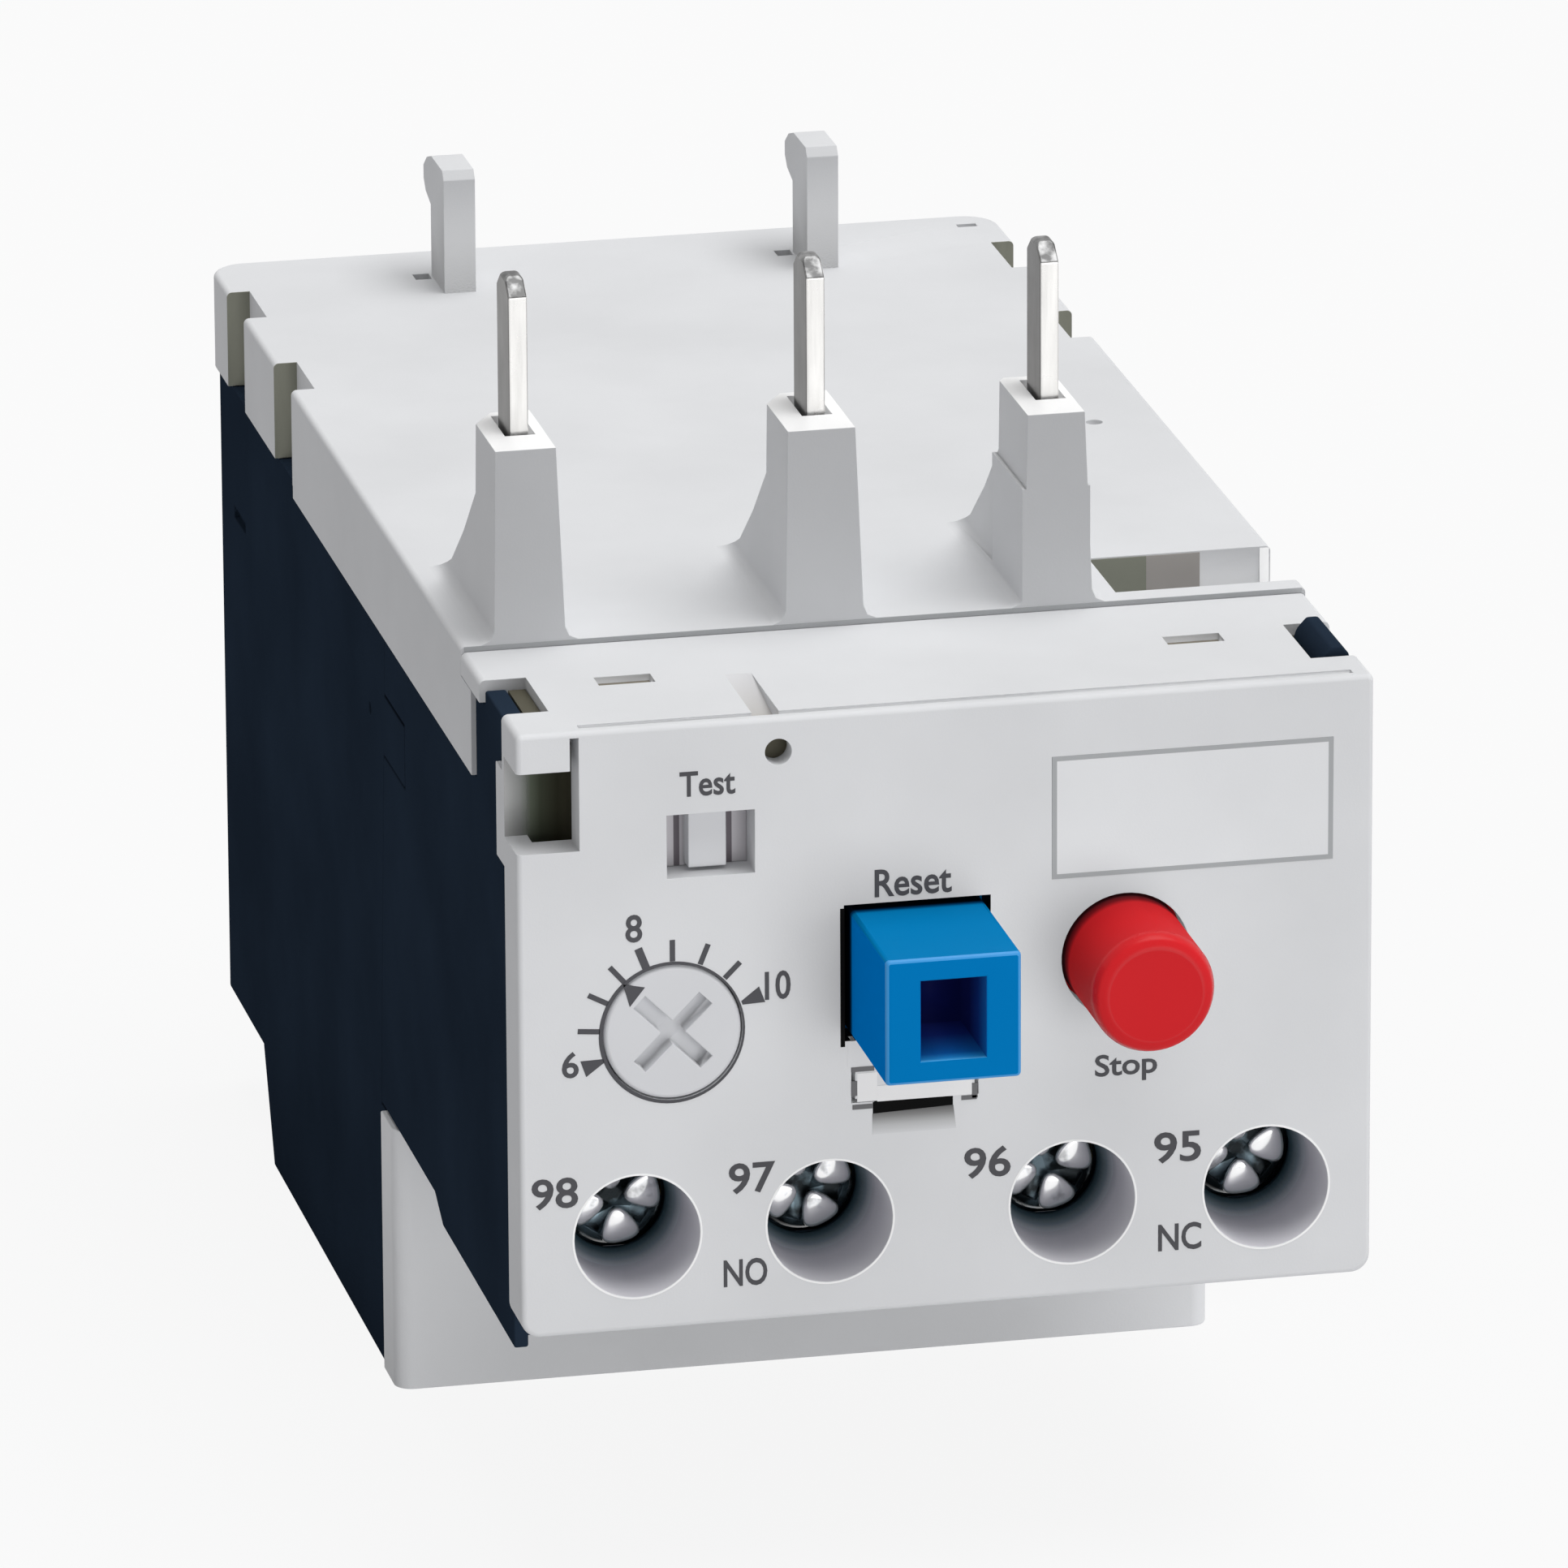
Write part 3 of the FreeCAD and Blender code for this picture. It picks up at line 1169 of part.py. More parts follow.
def release_lever():
    """The lever from the sliders' arm to the contact carrier, with its hub on the pin."""
    low = d.arm_height - d.lever_height + 0.5
    foot = d.arm_wide + 0.45 - housing_inner + 0.3 - d.lever_x
    outline = [(-2.6, 0), (foot, low + 4), (foot, low), (foot + 1.6, low),
               (foot + 2.2, low + 4), (1.6, -2.4), (2.6, 0),
               (1.4, 2.6), (-1.4, 2.6)]
    plate = prism("lever_plate", "XZ_Plane", outline, (0, d.lever_thick))
    bore = rod("lever_bore", "y", (0, 0), d.lever_pin + d.running,
               (-1, d.lever_thick + 1))
    finished(carved("release_lever_solid", plate, [bore]), "release_lever",
             d.lever_x, d.lever_front, d.lever_height)


def compensation_strip():
    """The ambient-compensating bimetal leaf riveted flat on the release lever."""
    front = d.lever_front + d.lever_thick
    low = d.arm_height - d.lever_height + 5.2
    outline = [(-5.2, -8.6), (-8.3, low), (-6.6, low),
               (-3.5, -8.6)]
    leaf = prism("compensation_leaf", "XZ_Plane", outline, (0, 0.6))
    finished(leaf, "compensation_strip", d.lever_x, front, d.lever_height)


def slider_plate(label, z, long_arm):
    """A trip slider: a slotted plate across the three strips."""
    left, right = 0.45 - housing_inner, housing_inner - 0.3 - d.travel
    plate_left = left if long_arm else left + d.arm_wide + 0.3
    front, back = d.strip_front - 2.0, d.strip_front + d.strip_wide + 2.0
    low, high = z, z + d.slider_thick
    plate = box(label + "_plate", (plate_left, right), (front, back), (low, high))
    slots = []
    for number, pole in enumerate(pole_places, start=1):
        half = d.strip_thick / 2 + d.travel + 0.5
        slots.append(box(f"{label}_slot_{number}", (pole - half, pole + half),
                         (front + 1.4, back - 1.4), (0, plate_top)))
    body = carved(label + "_slotted", plate, slots)
    if long_arm:
        arm_x = (left, left + d.arm_wide)
        arm_back, arm_top = front + d.arm_thick, d.arm_height + d.arm_thick
        riser = box(label + "_riser", arm_x, (front, arm_back), (low, arm_top))
        arm = box(label + "_arm", arm_x, (d.lever_front + 0.2, arm_back),
                  (d.arm_height, arm_top))
        body = joined(label + "_body", [body, riser, arm])
    finished(body, label)


def build():
    front_cover()
    front_housing()
    rear_housing()
    top_cover()
    lower_panel()
    for number in (1, 2, 3):
        line_blade(number)
        bimetal_strip(number)
        heater_winding(number)
        load_bar(number)
        load_cage(number)
        head_front = d.panel_front + d.panel_wall + d.load_screw_gap
        tip = d.cage_front + d.cage_wall + d.load_screw_reach - head_front
        screw(f"load_screw_{number}", pole_places[number - 1], d.load_screw_height, head_front,
              d.load_screw_head, d.load_head_thick, d.load_screw_shank, tip)
    for mark in terminal_places:
        control_terminal(mark)
    inner_frame()
    lever_pin()
    contact_carrier()
    contact_bridge("nc_bridge", d.terminal_three, terminal_four, nc_front)
    contact_bridge("no_bridge", terminal_one, d.terminal_two, no_front)
    reset_button()
    stop_button()
    button_spring("reset_spring", d.reset_x, d.reset_height)
    button_spring("stop_spring", stop_x, d.stop_height)
    dial()
    test_slider()
    release_lever()
    compensation_strip()
    slider_plate("push_slider", d.slider_height, True)
    slider_plate("restraint_slider", d.slider_height + d.slider_thick + 0.6, False)
    doc.recompute()


def check_and_write():
    for item in doc.Objects:
        if "Invalid" in item.State or "Error" in item.State:
            raise RuntimeError(f"{item.Label} failed: {item.State}")
    for item in nodes:
        if item.Shape.isNull() or not item.Shape.isValid() or not item.Shape.Solids:
            raise RuntimeError(f"{item.Label} has no valid solid")
    os.makedirs("parts", exist_ok=True)
    for item in nodes:
        item.Shape.exportStep(f"parts/{item.Label}.step")
    print(len(nodes), "pieces written")


build()
check_and_write()
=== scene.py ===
"""The looks of a thermal overload relay, dressed over its CAD frame, in metres.

X runs to the relay's right, Y from its front to its back, and Z up from the plane it stands on.
"""
import json
import math

import bmesh
import bpy
from mathutils import Matrix, Vector

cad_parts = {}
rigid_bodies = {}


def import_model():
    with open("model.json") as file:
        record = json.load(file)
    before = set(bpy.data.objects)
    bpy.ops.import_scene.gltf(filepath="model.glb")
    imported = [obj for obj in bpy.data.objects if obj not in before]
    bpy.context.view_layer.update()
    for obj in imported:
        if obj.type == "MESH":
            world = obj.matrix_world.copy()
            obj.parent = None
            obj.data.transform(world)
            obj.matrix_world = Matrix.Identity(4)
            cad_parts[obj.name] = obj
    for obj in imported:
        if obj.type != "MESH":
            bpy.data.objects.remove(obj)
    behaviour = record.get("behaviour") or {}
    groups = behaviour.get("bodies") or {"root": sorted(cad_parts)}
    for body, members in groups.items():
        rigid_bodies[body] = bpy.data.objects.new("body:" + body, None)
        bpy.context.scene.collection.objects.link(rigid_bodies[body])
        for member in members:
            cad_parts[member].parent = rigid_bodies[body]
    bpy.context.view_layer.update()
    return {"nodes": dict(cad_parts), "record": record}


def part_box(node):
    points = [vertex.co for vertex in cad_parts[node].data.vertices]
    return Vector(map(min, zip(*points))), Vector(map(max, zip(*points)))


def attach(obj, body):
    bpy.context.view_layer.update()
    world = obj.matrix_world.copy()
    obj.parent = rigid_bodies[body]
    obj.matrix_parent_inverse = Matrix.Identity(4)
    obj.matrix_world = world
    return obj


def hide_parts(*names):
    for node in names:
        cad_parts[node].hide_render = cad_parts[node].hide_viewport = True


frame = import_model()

scene = bpy.context.scene
MM = 0.001

# ---------------------------------------------------------------- places read from the frame

face_low, face_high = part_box("front_cover")
face_y = face_low.y
dial_low, dial_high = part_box("setting_dial")
dial_centre = ((dial_low.x + dial_high.x) / 2, (dial_low.z + dial_high.z) / 2)


def middle(node):
    """The centre of a CAD node's box."""
    low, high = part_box(node)
    return (low + high) / 2


# Places in millimetres, for the pieces and the tests below.
terminals = (95, 96, 97, 98)
terminal_x = {mark: middle(f"control_screw_{mark}").x / MM for mark in terminals}
terminal_z = middle("control_screw_95").z / MM
front_mm = face_y / MM
top_mm = face_high.z / MM
plate_mm = top_mm + 0.3
rear_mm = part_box("top_cover")[1].y / MM
stop_mm = middle("stop_button").x / MM
reset_mm = middle("reset_button") / MM
reset_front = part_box("reset_button")[0].y / MM


# ---------------------------------------------------------------- materials

def new_material(name):
    """A material with a single principled shader."""
    material = bpy.data.materials.new(name)
    material.use_nodes = True
    nodes = material.node_tree.nodes
    nodes.clear()
    output = nodes.new("ShaderNodeOutputMaterial")
    shader = nodes.new("ShaderNodeBsdfPrincipled")
    material.node_tree.links.new(shader.outputs["BSDF"], output.inputs["Surface"])
    return material, shader


def linear(red, green, blue):
    """An 8-bit screen colour as the linear colour that the shaders take."""
    def one(value):
        share = value / 255
        return share / 12.92 if share <= 0.04045 else ((share + 0.055) / 1.055) ** 2.4
    return one(red), one(green), one(blue), 1.0


def noise(material, scale, detail, stretch=(1, 1, 1)):
    """A noise texture in the piece's own coordinates, whose scale is in cells per metre."""
    nodes, links = material.node_tree.nodes, material.node_tree.links
    place = nodes.new("ShaderNodeTexCoord")
    mapping = nodes.new("ShaderNodeMapping")
    mapping.inputs["Scale"].default_value = stretch
    texture = nodes.new("ShaderNodeTexNoise")
    texture.inputs["Scale"].default_value = scale
    texture.inputs["Detail"].default_value = detail
    links.new(place.outputs["Object"], mapping.inputs["Vector"])
    links.new(mapping.outputs["Vector"], texture.inputs["Vector"])
    return texture


def ramp_between(material, source, low, high, start=0.3, end=0.7):
    """A colour ramp driven by a texture."""
    ramp = material.node_tree.nodes.new("ShaderNodeValToRGB")
    ramp.color_ramp.elements[0].position = start
    ramp.color_ramp.elements[1].position = end
    ramp.color_ramp.elements[0].color = low
    ramp.color_ramp.elements[1].color = high
    material.node_tree.links.new(source.outputs["Fac"], ramp.inputs["Fac"])
    return ramp


def rough_between(material, shader, source, low, high):
    """A roughness that a texture moves between two values."""
    remap = material.node_tree.nodes.new("ShaderNodeMapRange")
    remap.inputs["To Min"].default_value = low
    remap.inputs["To Max"].default_value = high
    material.node_tree.links.new(source.outputs["Fac"], remap.inputs["Value"])
    material.node_tree.links.new(remap.outputs["Result"], shader.inputs["Roughness"])


def bumped(material, shader, source, depth, strength):
    """A bump from a texture."""
    bump = material.node_tree.nodes.new("ShaderNodeBump")
    bump.inputs["Distance"].default_value = depth
    bump.inputs["Strength"].default_value = strength
    material.node_tree.links.new(source.outputs["Fac"], bump.inputs["Height"])
    material.node_tree.links.new(bump.outputs["Normal"], shader.inputs["Normal"])


def shade(colour, factor):
    """A colour made darker or lighter by a factor."""
    return tuple(channel * factor for channel in colour[:3]) + (1.0,)


def moulded_plastic(name, colour, rough=(0.42, 0.55), grain=9000, depth=0.00002, strength=0.25,
                    spread=0.035, specular=0.2):
    """Moulded plastic: faint flow clouds in the colour, and a fine spark-eroded grain."""
    material, shader = new_material(name)
    clouds = noise(material, 90, 4)
    tint = ramp_between(material, clouds, shade(colour, 1 - spread), shade(colour, 1 + spread))
    material.node_tree.links.new(tint.outputs["Color"], shader.inputs["Base Color"])
    fine = noise(material, grain, 3)
    rough_between(material, shader, noise(material, 400, 3), *rough)
    bumped(material, shader, fine, depth, strength)
    shader.inputs["Specular IOR Level"].default_value = specular
    return material


def plated_metal(name, colour, rough=(0.12, 0.3), streak=(1, 1, 1), grain=1500, strength=0.12,
                 dull=0.9, start=0.3, end=0.7, metallic=1.0):
    """Plated metal with drawn streaks or blots, down to the share dull of its colour."""
    material, shader = new_material(name)
    streaks = noise(material, grain, 4, streak)
    tint = ramp_between(material, streaks, shade(colour, dull), shade(colour, 1.06), start, end)
    material.node_tree.links.new(tint.outputs["Color"], shader.inputs["Base Color"])
    shader.inputs["Metallic"].default_value = metallic
    rough_between(material, shader, noise(material, 500, 3), *rough)
    bumped(material, shader, streaks, 0.00002, strength)
    return material


def fading(name, axis, stops, rough=(0.5, 0.6), specular=0.05):
    """Moulded plastic whose colour changes along one axis: stops are (place in mm, colour)."""
    first, last = stops[0][0], stops[-1][0]
    material = moulded_plastic(name, linear(*stops[0][1]), rough=rough, strength=0.08,
                               specular=specular)
    nodes, links = material.node_tree.nodes, material.node_tree.links
    place = nodes.new("ShaderNodeTexCoord")
    parts = nodes.new("ShaderNodeSeparateXYZ")
    links.new(place.outputs["Object"], parts.inputs["Vector"])
    along = nodes.new("ShaderNodeMapRange")
    along.inputs["From Min"].default_value = first * MM
    along.inputs["From Max"].default_value = last * MM
    links.new(parts.outputs[axis], along.inputs["Value"])
    ramp = nodes.new("ShaderNodeValToRGB")
    ramp.color_ramp.elements[0].color = linear(*stops[0][1])
    ramp.color_ramp.elements[1].color = linear(*stops[-1][1])
    for station, colour in stops[1:-1]:
        ramp.color_ramp.elements.new((station - first) / (last - first)).color = linear(*colour)
    links.new(along.outputs["Result"], ramp.inputs["Fac"])
    shader = next(node for node in nodes if node.type == "BSDF_PRINCIPLED")
    links.new(ramp.outputs["Color"], shader.inputs["Base Color"])
    return material


light_grey = linear(216, 217, 219)
grey_plastic = moulded_plastic("grey_plastic", light_grey, rough=(0.55, 0.68), specular=0.12)
dark_plastic = moulded_plastic("dark_plastic", linear(37, 48, 62), rough=(0.6, 0.72), spread=0.14,
                               strength=0.4, specular=0.0)
dial_plastic = moulded_plastic("dial_plastic", linear(207, 208, 211), rough=(0.25, 0.35),
                               strength=0.08)
slider_plastic = moulded_plastic("slider_plastic", linear(196, 195, 200), rough=(0.3, 0.4),
                                 strength=0.08)
# Painted light: near white for the tops of the blade posts, the rims of the screw tubes and the
# pocket's open end.
rim_painted_light = moulded_plastic("rim_painted_light", linear(244, 244, 244), rough=(0.35, 0.45))
blue_plastic = moulded_plastic("blue_plastic", linear(0, 118, 186), rough=(0.55, 0.65),
                               strength=0.12, spread=0.03, specular=0.012)
# Painted highlight: a lighter blue on the reset button's sloping front edges.
blue_edge_highlight = moulded_plastic("blue_edge_highlight", linear(62, 148, 212), rough=(0.3, 0.4), strength=0.05,
                            specular=0.2)
# Painted shade: the blue darkens to near black deeper into the reset button's socket.
blue_socket_shade = fading("blue_socket_shade", "Y", ((-47.65, (0, 84, 160)), (-45.8, (1, 36, 106)),
                                         (-43.8, (1, 10, 66)), (-41.9, (1, 8, 62))))
# Painted highlight and shade: the socket's lower wall is light at its lip and darkens deeper in.
blue_sill_highlight_shade = fading("blue_sill_highlight_shade", "Y", ((-47.65, (70, 156, 216)), (-47.35, (24, 120, 190)),
                                     (-46.6, (0, 76, 150)), (-43.8, (1, 24, 92)),
                                     (-41.9, (1, 12, 72))))
# Painted shade: the reset button's sides darken where they enter the cover.
blue_side_shade = fading("blue_side_shade", "Y", ((-47.65, (0, 119, 178)), (-39.9, (0, 113, 170)),
                                     (-39.6, (0, 60, 104)), (-39.3, (0, 12, 26))), specular=0.01)
# Painted light and shade: the button's left side is lighter than its other sides and darkens where
# it enters the cover.
blue_left_light_shade = fading("blue_left_light_shade", "Y", ((-47.65, (0, 126, 212)), (-39.9, (0, 120, 204)),
                                     (-39.6, (0, 60, 104)), (-39.3, (0, 12, 26))), specular=0.0)
red_plastic = moulded_plastic("red_plastic", linear(206, 32, 38), rough=(0.28, 0.36),
                              strength=0.08, spread=0.03, specular=0.04)
# Painted shade: the stop button's round side is a darker red than its cap and darkens where it
# enters the cover.
red_side_shade = fading("red_side_shade", "Y", ((-45.95, (198, 29, 35)), (-40.4, (194, 28, 34)),
                                   (-39.9, (120, 14, 22)), (-39.3, (52, 6, 12))))
red_edge = moulded_plastic("red_edge", linear(206, 32, 38), rough=(0.24, 0.3), strength=0.05,
                           specular=0.12)
# Painted shade: an olive-brown for the dark depths in the ledge notches and behind the pilot hole.
olive_shade = moulded_plastic("olive_shade", linear(76, 73, 60), rough=(0.5, 0.6),
                                spread=0.15)
inner_plastic = moulded_plastic("inner_plastic", linear(84, 82, 74), rough=(0.5, 0.6))
# Painted shade: a mid band on the top cover pocket's back wall.
taupe_shade = moulded_plastic("taupe_shade", linear(158, 154, 150), rough=(0.5, 0.6))
# Painted shade: grey lines in the engraved label frame and on the step between the covers.
line_shade = moulded_plastic("line_shade", linear(166, 168, 170), rough=(0.5, 0.6))
# Painted shade: the ledge groove's floor darkens towards its deeper front end.
groove_shade = fading("groove_shade", "Y", ((-38.8, (168, 160, 150)), (-36.5, (188, 186, 184)),
                                               (-32.0, (212, 212, 214))))
# Painted shade: the rear walls of the top cover's side notches.
notch_shade = moulded_plastic("notch_shade", linear(150, 151, 138), rough=(0.5, 0.6))
# Painted light: the lower panel, which sits in the front cover's shade, is coloured lighter than
# the grey plastic.
panel_painted_light = moulded_plastic("panel_painted_light", linear(228, 229, 231), rough=(0.5, 0.6))
# Painted shade: dark strokes in the gaps round the latch tongue's tab.
stroke_shade = moulded_plastic("stroke_shade", linear(104, 104, 106), rough=(0.5, 0.6))
tab_plastic = moulded_plastic("tab_plastic", linear(230, 230, 231), rough=(0.4, 0.5))
label_plastic = moulded_plastic("label_plastic", linear(221, 222, 224), rough=(0.3, 0.4))
# Painted shade: the screw tubes' walls darken deeper in, towards the screws.
tube_shade = fading("tube_shade", "Y", ((-39.4, (228, 227, 232)), (-35.6, (216, 215, 222)),
                                           (-34.2, (184, 188, 196)), (-33.2, (104, 118, 126)),
                                           (-31.8, (34, 50, 58))))
# Painted shade: the collar round each screw head darkens towards the screw.
collar_shade = fading("collar_shade", "Y", ((-34.6, (184, 188, 196)), (-34.1, (118, 130, 138)),
                                               (-33.6, (58, 76, 84)), (-33.3, (30, 46, 54))))
# Painted shade: the corner window's back and side wall, darkest in its middle.
window_shade = fading("window_shade", "X", ((-22.5, (178, 178, 178)), (-21.7, (140, 142, 140)),
                                               (-21.1, (84, 90, 78)), (-20.6, (60, 64, 52)),
                                               (-19.7, (54, 54, 42)), (-19.1, (80, 78, 64)),
                                               (-18.7, (110, 106, 92))))
# Painted shade: the tongue's ramp darkens upwards, towards the slot.
ramp_shade = fading("ramp_shade", "Z", ((25.1, (212, 213, 215)), (25.6, (186, 187, 188)),
                                           (26.05, (136, 136, 136)), (26.4, (98, 98, 98))))
# Painted shade: near black for the tongue's slot, the gap left of the reset button and the walls of
# its window.
slot_shade = moulded_plastic("slot_shade", linear(8, 8, 8), rough=(0.6, 0.7), specular=0.05)
test_light = moulded_plastic("test_light", linear(196, 193, 197), rough=(0.5, 0.6))
# Painted shade: the dark strips either side of the test slider's paddle.
test_gap_shade = moulded_plastic("test_gap_shade", linear(104, 98, 104), rough=(0.5, 0.6))
# Painted shade: the floors of the two slots in the ledge.
slot_fill_shade = moulded_plastic("slot_fill_shade", linear(120, 114, 102), rough=(0.5, 0.6))
# Painted shade: the deepest band on the top cover pocket's back wall.
pocket_olive_shade = moulded_plastic("pocket_olive_shade", linear(128, 130, 118), rough=(0.5, 0.6))
ink = moulded_plastic("ink", linear(74, 74, 78), rough=(0.5, 0.6), strength=0.05, spread=0.08)
screw_metal = plated_metal("screw_metal", linear(206, 208, 211), rough=(0.38, 0.5), metallic=0.75)
# Painted shade and reflections: the control screw heads are a dark metal with large dark blots.
head_shade_metal = plated_metal("head_shade_metal", linear(92, 108, 116), rough=(0.2, 0.35), grain=700,
                          dull=0.12, start=0.46, end=0.6, metallic=0.7)
# Painted reflections: dark blots on the bright lobes of the control screws.
lobe_reflection_metal = plated_metal("lobe_reflection_metal", linear(250, 251, 253), rough=(0.08, 0.16), grain=700,
                          dull=0.4, start=0.3, end=0.44, metallic=0.8)
# Painted shade: the clamp washers, deep in the tubes, are a dark metal.
washer_shade_metal = plated_metal("washer_shade_metal", linear(44, 56, 64), rough=(0.3, 0.45))
blade_metal = plated_metal("blade_metal", linear(226, 225, 223), rough=(0.18, 0.34),
                           streak=(1, 1, 0.08), grain=2600, strength=0.2)
# Painted shade: the line blades' left faces are darker than their fronts.
blade_side_shade = plated_metal("blade_side_shade", linear(112, 111, 110), rough=(0.3, 0.45),
                          streak=(1, 1, 0.08), grain=2600, strength=0.2)
# Painted shade: the upward faces at the blades' tips are darker, with dark blots.
blade_tip_shade = plated_metal("blade_tip_shade", linear(130, 130, 130), rough=(0.3, 0.45), grain=1400,
                         strength=0.4, dull=0.35, start=0.4, end=0.6)
zinc_metal = plated_metal("zinc_metal", linear(178, 180, 183), rough=(0.25, 0.45))
brass_metal = plated_metal("brass_metal", linear(206, 176, 108), rough=(0.22, 0.4))
steel_metal = plated_metal("steel_metal", linear(150, 150, 152), rough=(0.25, 0.4))

slot_materials = {
    "light_grey_plastic": grey_plastic,
    "dark_plastic": dark_plastic,
    "dial_plastic": dial_plastic,
    "blue_plastic": blue_plastic,
    "red_plastic": red_plastic,
    "inner_plastic": inner_plastic,
    "slider_plastic": slider_plastic,
    "tinned_brass": blade_metal,
    "plated_screw": screw_metal,
    "zinc_steel": zinc_metal,
    "spring_steel": steel_metal,
    "bimetal": steel_metal,
    "heater_alloy": steel_metal,
    "contact_brass": brass_metal,
}
node_slots = {row["node"]: row["material_slot"] for row in frame["record"]["subparts"]}
node_bodies = {}
for body, members in frame["record"]["behaviour"]["bodies"].items():
    for member in members:
        node_bodies[member] = body
for node, item in frame["nodes"].items():
    item.data.materials.clear()
    item.data.materials.append(slot_materials[node_slots[node]])


# ---------------------------------------------------------------- building blocks

def settle(piece, material, body="case"):
    """Link a new piece, give it its finish and let it ride on its body."""
    scene.collection.objects.link(piece)
    piece.data.materials.clear()
    piece.data.materials.append(material)
    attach(piece, body)
    return piece


def dressed(node, bevel, finishes=(), merge=True):
    """A copy of a CAD node with clean faces and rounded edges, which stands for the node.

    Each pair in finishes is a material and a test that picks the faces it goes on, from their
    centre in millimetres and their normal.  merge joins the triangles of each flat face, which
    a face round a cross recess doesn't take.
    """
    mesh = frame["nodes"][node].data.copy()
    slot = node_slots[node]
    work = bmesh.new()
    work.from_mesh(mesh)
    weld, flat, sharp = 0.002 * MM, math.radians(0.5), math.radians(32)
    bmesh.ops.remove_doubles(work, verts=work.verts, dist=weld)
    if merge:
        bmesh.ops.dissolve_limit(work, angle_limit=flat, verts=work.verts, edges=work.edges)
    weight = work.edges.layers.float.new("bevel_weight_edge")
    for rim in work.edges:
        if rim.is_manifold and rim.is_convex and rim.calc_face_angle() > sharp:
            rim[weight] = 1.0
    chosen = []
    for face in work.faces:
        face.smooth = True
        centre = face.calc_center_median() / MM
        hits = [index for index, (material, picks) in enumerate(finishes, start=1)
                if picks(centre, face.normal)]
        chosen.append(hits[-1] if hits else 0)
    work.to_mesh(mesh)
    work.free()
    mesh.name = node + "_dressed"
    piece = bpy.data.objects.new(node + "_dressed", mesh)
    rounding = piece.modifiers.new("edges", "BEVEL")
    rounding.width = bevel * MM
    rounding.segments = 2
    rounding.limit_method = "WEIGHT"
    rounding.use_clamp_overlap = True
    settle(piece, slot_materials[slot], node_bodies[node])
    for material, picks in finishes:
        mesh.materials.append(material)
    mesh.polygons.foreach_set("material_index", chosen)
    normals = piece.modifiers.new("normals", "WEIGHTED_NORMAL")
    normals.keep_sharp = True
    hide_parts(node)
    return piece


def plate(name, corners, front, back, material, body="case"):
    """A flat plate with the given (x, z) outline, between two Y stations, in metres."""
    work = bmesh.new()
    near = [work.verts.new((x, front, z)) for x, z in corners]
    far = [work.verts.new((x, back, z)) for x, z in corners]
    work.faces.new(near)
    work.faces.new(reversed(far))
    count = len(corners)
    for index in range(count):
        after = (index + 1) % count
        work.faces.new((near[after], near[index], far[index], far[after]))
    bmesh.ops.recalc_face_normals(work, faces=work.faces)
    mesh = bpy.data.meshes.new(name)
    work.to_mesh(mesh)
    work.free()
    return settle(bpy.data.objects.new(name, mesh), material, body)


def block(name, low, high, material, body="case"):
    """A plain block between two corners in millimetres, with Y from the front face."""
    corners = [(low[0] * MM, low[2] * MM), (high[0] * MM, low[2] * MM),
               (high[0] * MM, high[2] * MM), (low[0] * MM, high[2] * MM)]
    return plate(name, corners, face_y + low[1] * MM, face_y + high[1] * MM, material, body)


def ring(name, centre, section, material):
    """A ring round an axis along Y: section gives its (radius, y) corners at a turn."""
    steps = 72
    work = bmesh.new()
    rings = []
    for index in range(steps):
        turn = 2 * math.pi * index / steps
        rings.append([work.verts.new((centre[0] + reach * math.cos(turn), y,
                                      centre[1] + reach * math.sin(turn)))
                      for reach, y in section(turn)])
    for index in range(steps):
        one, two = rings[index], rings[(index + 1) % steps]
        for first in range(len(one)):
            second = (first + 1) % len(one)
            work.faces.new((one[first], one[second], two[second], two[first]))
    bmesh.ops.recalc_face_normals(work, faces=work.faces)
    mesh = bpy.data.meshes.new(name)
    work.to_mesh(mesh)
    work.free()
    settle(bpy.data.objects.new(name, mesh), material, "case")


# ---------------------------------------------------------------- printed marks, and rings of painted shade and highlight

print_front = face_y - 0.02 * MM
print_back = face_y + 0.03 * MM


def lettered(name, words, centre, width, height):
    """A word as a thin printed solid that fills a width and a height on the front face."""
    boldness = 0.016
    curve = bpy.data.curves.new(name, "FONT")
    curve.body = words
    curve.extrude = 0.5
    curve.resolution_u = 4
    curve.offset = boldness
    text = bpy.data.objects.new(name + "_curve", curve)
    scene.collection.objects.link(text)
    bpy.context.view_layer.update()
    solid = text.evaluated_get(bpy.context.evaluated_depsgraph_get())
    mesh = bpy.data.meshes.new_from_object(solid)
    bpy.data.objects.remove(text)
    low = [min(vertex.co[axis] for vertex in mesh.vertices) for axis in range(3)]
    high = [max(vertex.co[axis] for vertex in mesh.vertices) for axis in range(3)]
    for vertex in mesh.vertices:
        across = (vertex.co.x - low[0]) / (high[0] - low[0]) - 0.5
        up = (vertex.co.y - low[1]) / (high[1] - low[1]) - 0.5
        near = vertex.co.z > 0
        vertex.co = (centre[0] + across * width, print_front if near else print_back,
                     centre[1] + up * height)
    return settle(bpy.data.objects.new(name, mesh), ink, "case")


def around_dial(angle, radius):
    """The (x, z) place at an angle in degrees and a radius from the dial's centre."""
    turn = math.radians(angle)
    return dial_centre[0] + radius * math.cos(turn), dial_centre[1] + radius * math.sin(turn)


